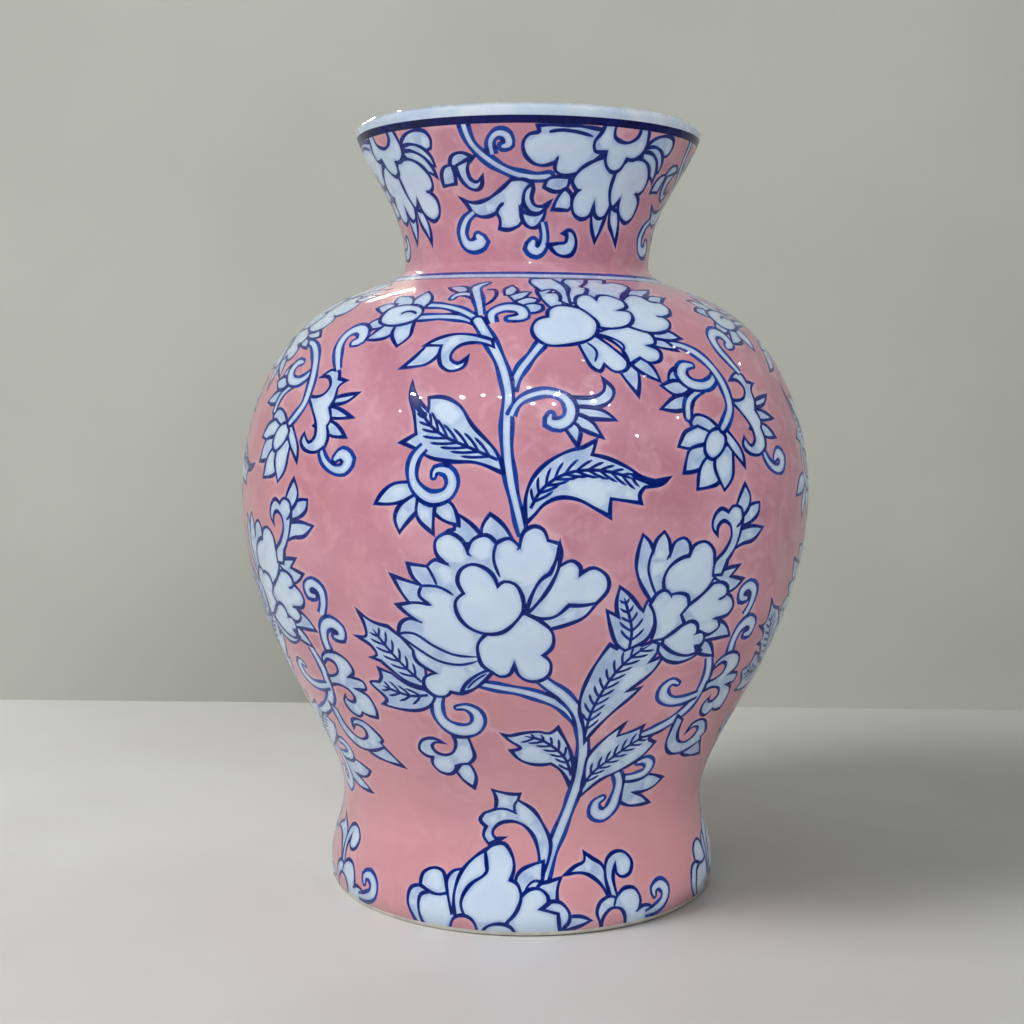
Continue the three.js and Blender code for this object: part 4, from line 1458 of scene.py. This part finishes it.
def make_world():
    """Soft light from all round: a bright ceiling, a dim horizon, and most of it from the upper left."""
    world = bpy.data.worlds.new("room")
    world.use_nodes = True
    nodes, links = world.node_tree.nodes, world.node_tree.links
    direction = nodes.new("ShaderNodeTexCoord").outputs["Generated"]

    def towards(aim, sharpness, strength):
        dot = nodes.new("ShaderNodeVectorMath")
        dot.operation = "DOT_PRODUCT"
        links.new(direction, dot.inputs[0])
        dot.inputs[1].default_value = Vector(aim).normalized()
        spread = nodes.new("ShaderNodeMapRange")
        links.new(dot.outputs["Value"], spread.inputs["Value"])
        spread.inputs["From Min"].default_value = WORLD_SPREAD
        power = nodes.new("ShaderNodeMath")
        power.operation = "POWER"
        links.new(spread.outputs["Result"], power.inputs[0])
        power.inputs[1].default_value = sharpness
        scaled = nodes.new("ShaderNodeMath")
        scaled.operation = "MULTIPLY"
        links.new(power.outputs[0], scaled.inputs[0])
        scaled.inputs[1].default_value = strength
        return scaled.outputs[0]

    total = None
    for lobe in WORLD_LOBES:
        part = towards(*lobe)
        if total is not None:
            join = nodes.new("ShaderNodeMath")
            links.new(total, join.inputs[0])
            links.new(part, join.inputs[1])
            part = join.outputs[0]
        total = part
    level = nodes.new("ShaderNodeMath")
    links.new(total, level.inputs[0])
    level.inputs[1].default_value = WORLD_HORIZON
    seen = nodes.new("ShaderNodeMix")
    links.new(nodes.new("ShaderNodeLightPath").outputs["Is Camera Ray"], seen.inputs["Factor"])
    links.new(level.outputs[0], seen.inputs["A"])
    seen.inputs["B"].default_value = WORLD_SEEN
    background = nodes["Background"]
    background.inputs["Color"].default_value = (0.97, 0.99, 1, 1)
    links.new(seen.outputs["Result"], background.inputs["Strength"])
    scene.world = world


def area_light(name, place, aim, size, power, tint):
    light = bpy.data.lights.new(name, "AREA")
    light.shape = "RECTANGLE"
    light.size, light.size_y = size
    light.energy = power
    light.color = tint
    lamp = bpy.data.objects.new(name, light)
    lamp.location = place
    lamp.rotation_euler = (Vector(aim) - Vector(place)).to_track_quat("-Z", "Y").to_euler()
    scene.collection.objects.link(lamp)
    return lamp


def glint(name, x, s, away, size, power, tint=(1, 1, 1)):
    """A small lamp whose reflection the camera sees at a place on the pot. It lights nothing else."""
    place, normal = (Vector(value) for value in on_wall(x, s))
    place *= MM
    ray = (place - Vector((0, -camera_distance, camera_height))).normalized()
    bounced = ray - 2 * ray.dot(normal) * normal
    lamp = area_light(name, place + bounced * away, place, size, power, tint)
    lamp.visible_diffuse = False
    lamp.visible_camera = False


# Where the small lamps' reflections sit on the pot, and how wide each lamp is, in metres. The powers
# are for a lamp one metre wide, and a lamp stands this far from the place where it is reflected.
CEILING_POWER, CEILING_AWAY = 1600, 1.8
REAR_POWER, REAR_AWAY = 200, 0.2
CEILING_GLINTS = [(-21.3, 207.2, 0.05), (-19.7, 206, 0.03), (-11.6, 206.4, 0.05), (-7.8, 207.2, 0.03),
                  (-4.7, 206.6, 0.02), (0.6, 210, 0.03), (1.3, 204.4, 0.04), (5.8, 207.8, 0.05),
                  (5.2, 204.2, 0.03), (12.2, 208.3, 0.03), (12.5, 205.4, 0.05), (15.3, 203.9, 0.02),
                  (20, 193.3, 0.03), (28.8, 199.4, 0.03), (-23.4, 201, 0.02)]
REAR_GLINTS = [(-9, 270, 0.003), (-5.2, 268.2, 0.002), (-1.4, 268.6, 0.003), (6.5, 267.6, 0.004),
               (12, 283.6, 0.003), (24, 284, 0.003), (35, 283.4, 0.004), (38, 283.6, 0.004),
               (52, 284.2, 0.003), (-14, 283.8, 0.002)]


def lights_only(lamp, receivers):
    group = bpy.data.collections.new(f"{lamp.name}_receivers")
    for receiver in receivers:
        group.objects.link(receiver)
    lamp.light_linking.receiver_collection = group


def make_lights(table, wall_plane):
    key = area_light("key_light", (-1.3, -0.7, 1.0), (0, 0, 0.12), (0.6, 0.6), 9, (1, 0.98, 0.95))
    front = area_light("front_light", (0.3, -1.25, 1.05), (0, 0, 0.15), (0.9, 0.6), 11.8,
                       (1, 0.99, 0.97))
    side = area_light("side_light", (-1.15, -0.5, 1.25), (0, 0, 0), (0.6, 0.6), 12.5, (0.99, 0.99, 1))
    skins = [piece for piece in scene.objects if piece.name.endswith("_skin")]
    lights_only(front, [*skins, wall_plane])
    lights_only(side, [table])
    for lamp in (key, front, side):
        lamp.visible_glossy = False
    for i, (x, s, width) in enumerate(CEILING_GLINTS):
        glint(f"ceiling_lamp_{i}", x, s, CEILING_AWAY, (width, width * 0.5), CEILING_POWER * width**2)
    for i, (x, s, width) in enumerate(REAR_GLINTS):
        glint(f"rear_lamp_{i}", x, s, REAR_AWAY, (width * 2, width), REAR_POWER * width**2)
    glint("warm_lamp", -39, 259, 0.28, (0.09, 0.012), 0.12, (1, 0.84, 0.7))


def make_camera():
    camera = bpy.data.objects.new("camera", bpy.data.cameras.new("camera"))
    camera.data.sensor_width = SENSOR
    camera.data.lens = SENSOR * FOCAL
    turn = Matrix.Rotation(camera_turn, 4, "Z") @ Matrix.Rotation(math.pi / 2 - camera_down, 4, "X")
    place = Matrix.Translation((0, -camera_distance, camera_height))
    camera.matrix_world = place @ turn @ Matrix.Rotation(camera_roll, 4, "Z")
    scene.collection.objects.link(camera)
    scene.camera = camera


table, wall_plane = make_stage()
make_world()
make_lights(table, wall_plane)
make_camera()
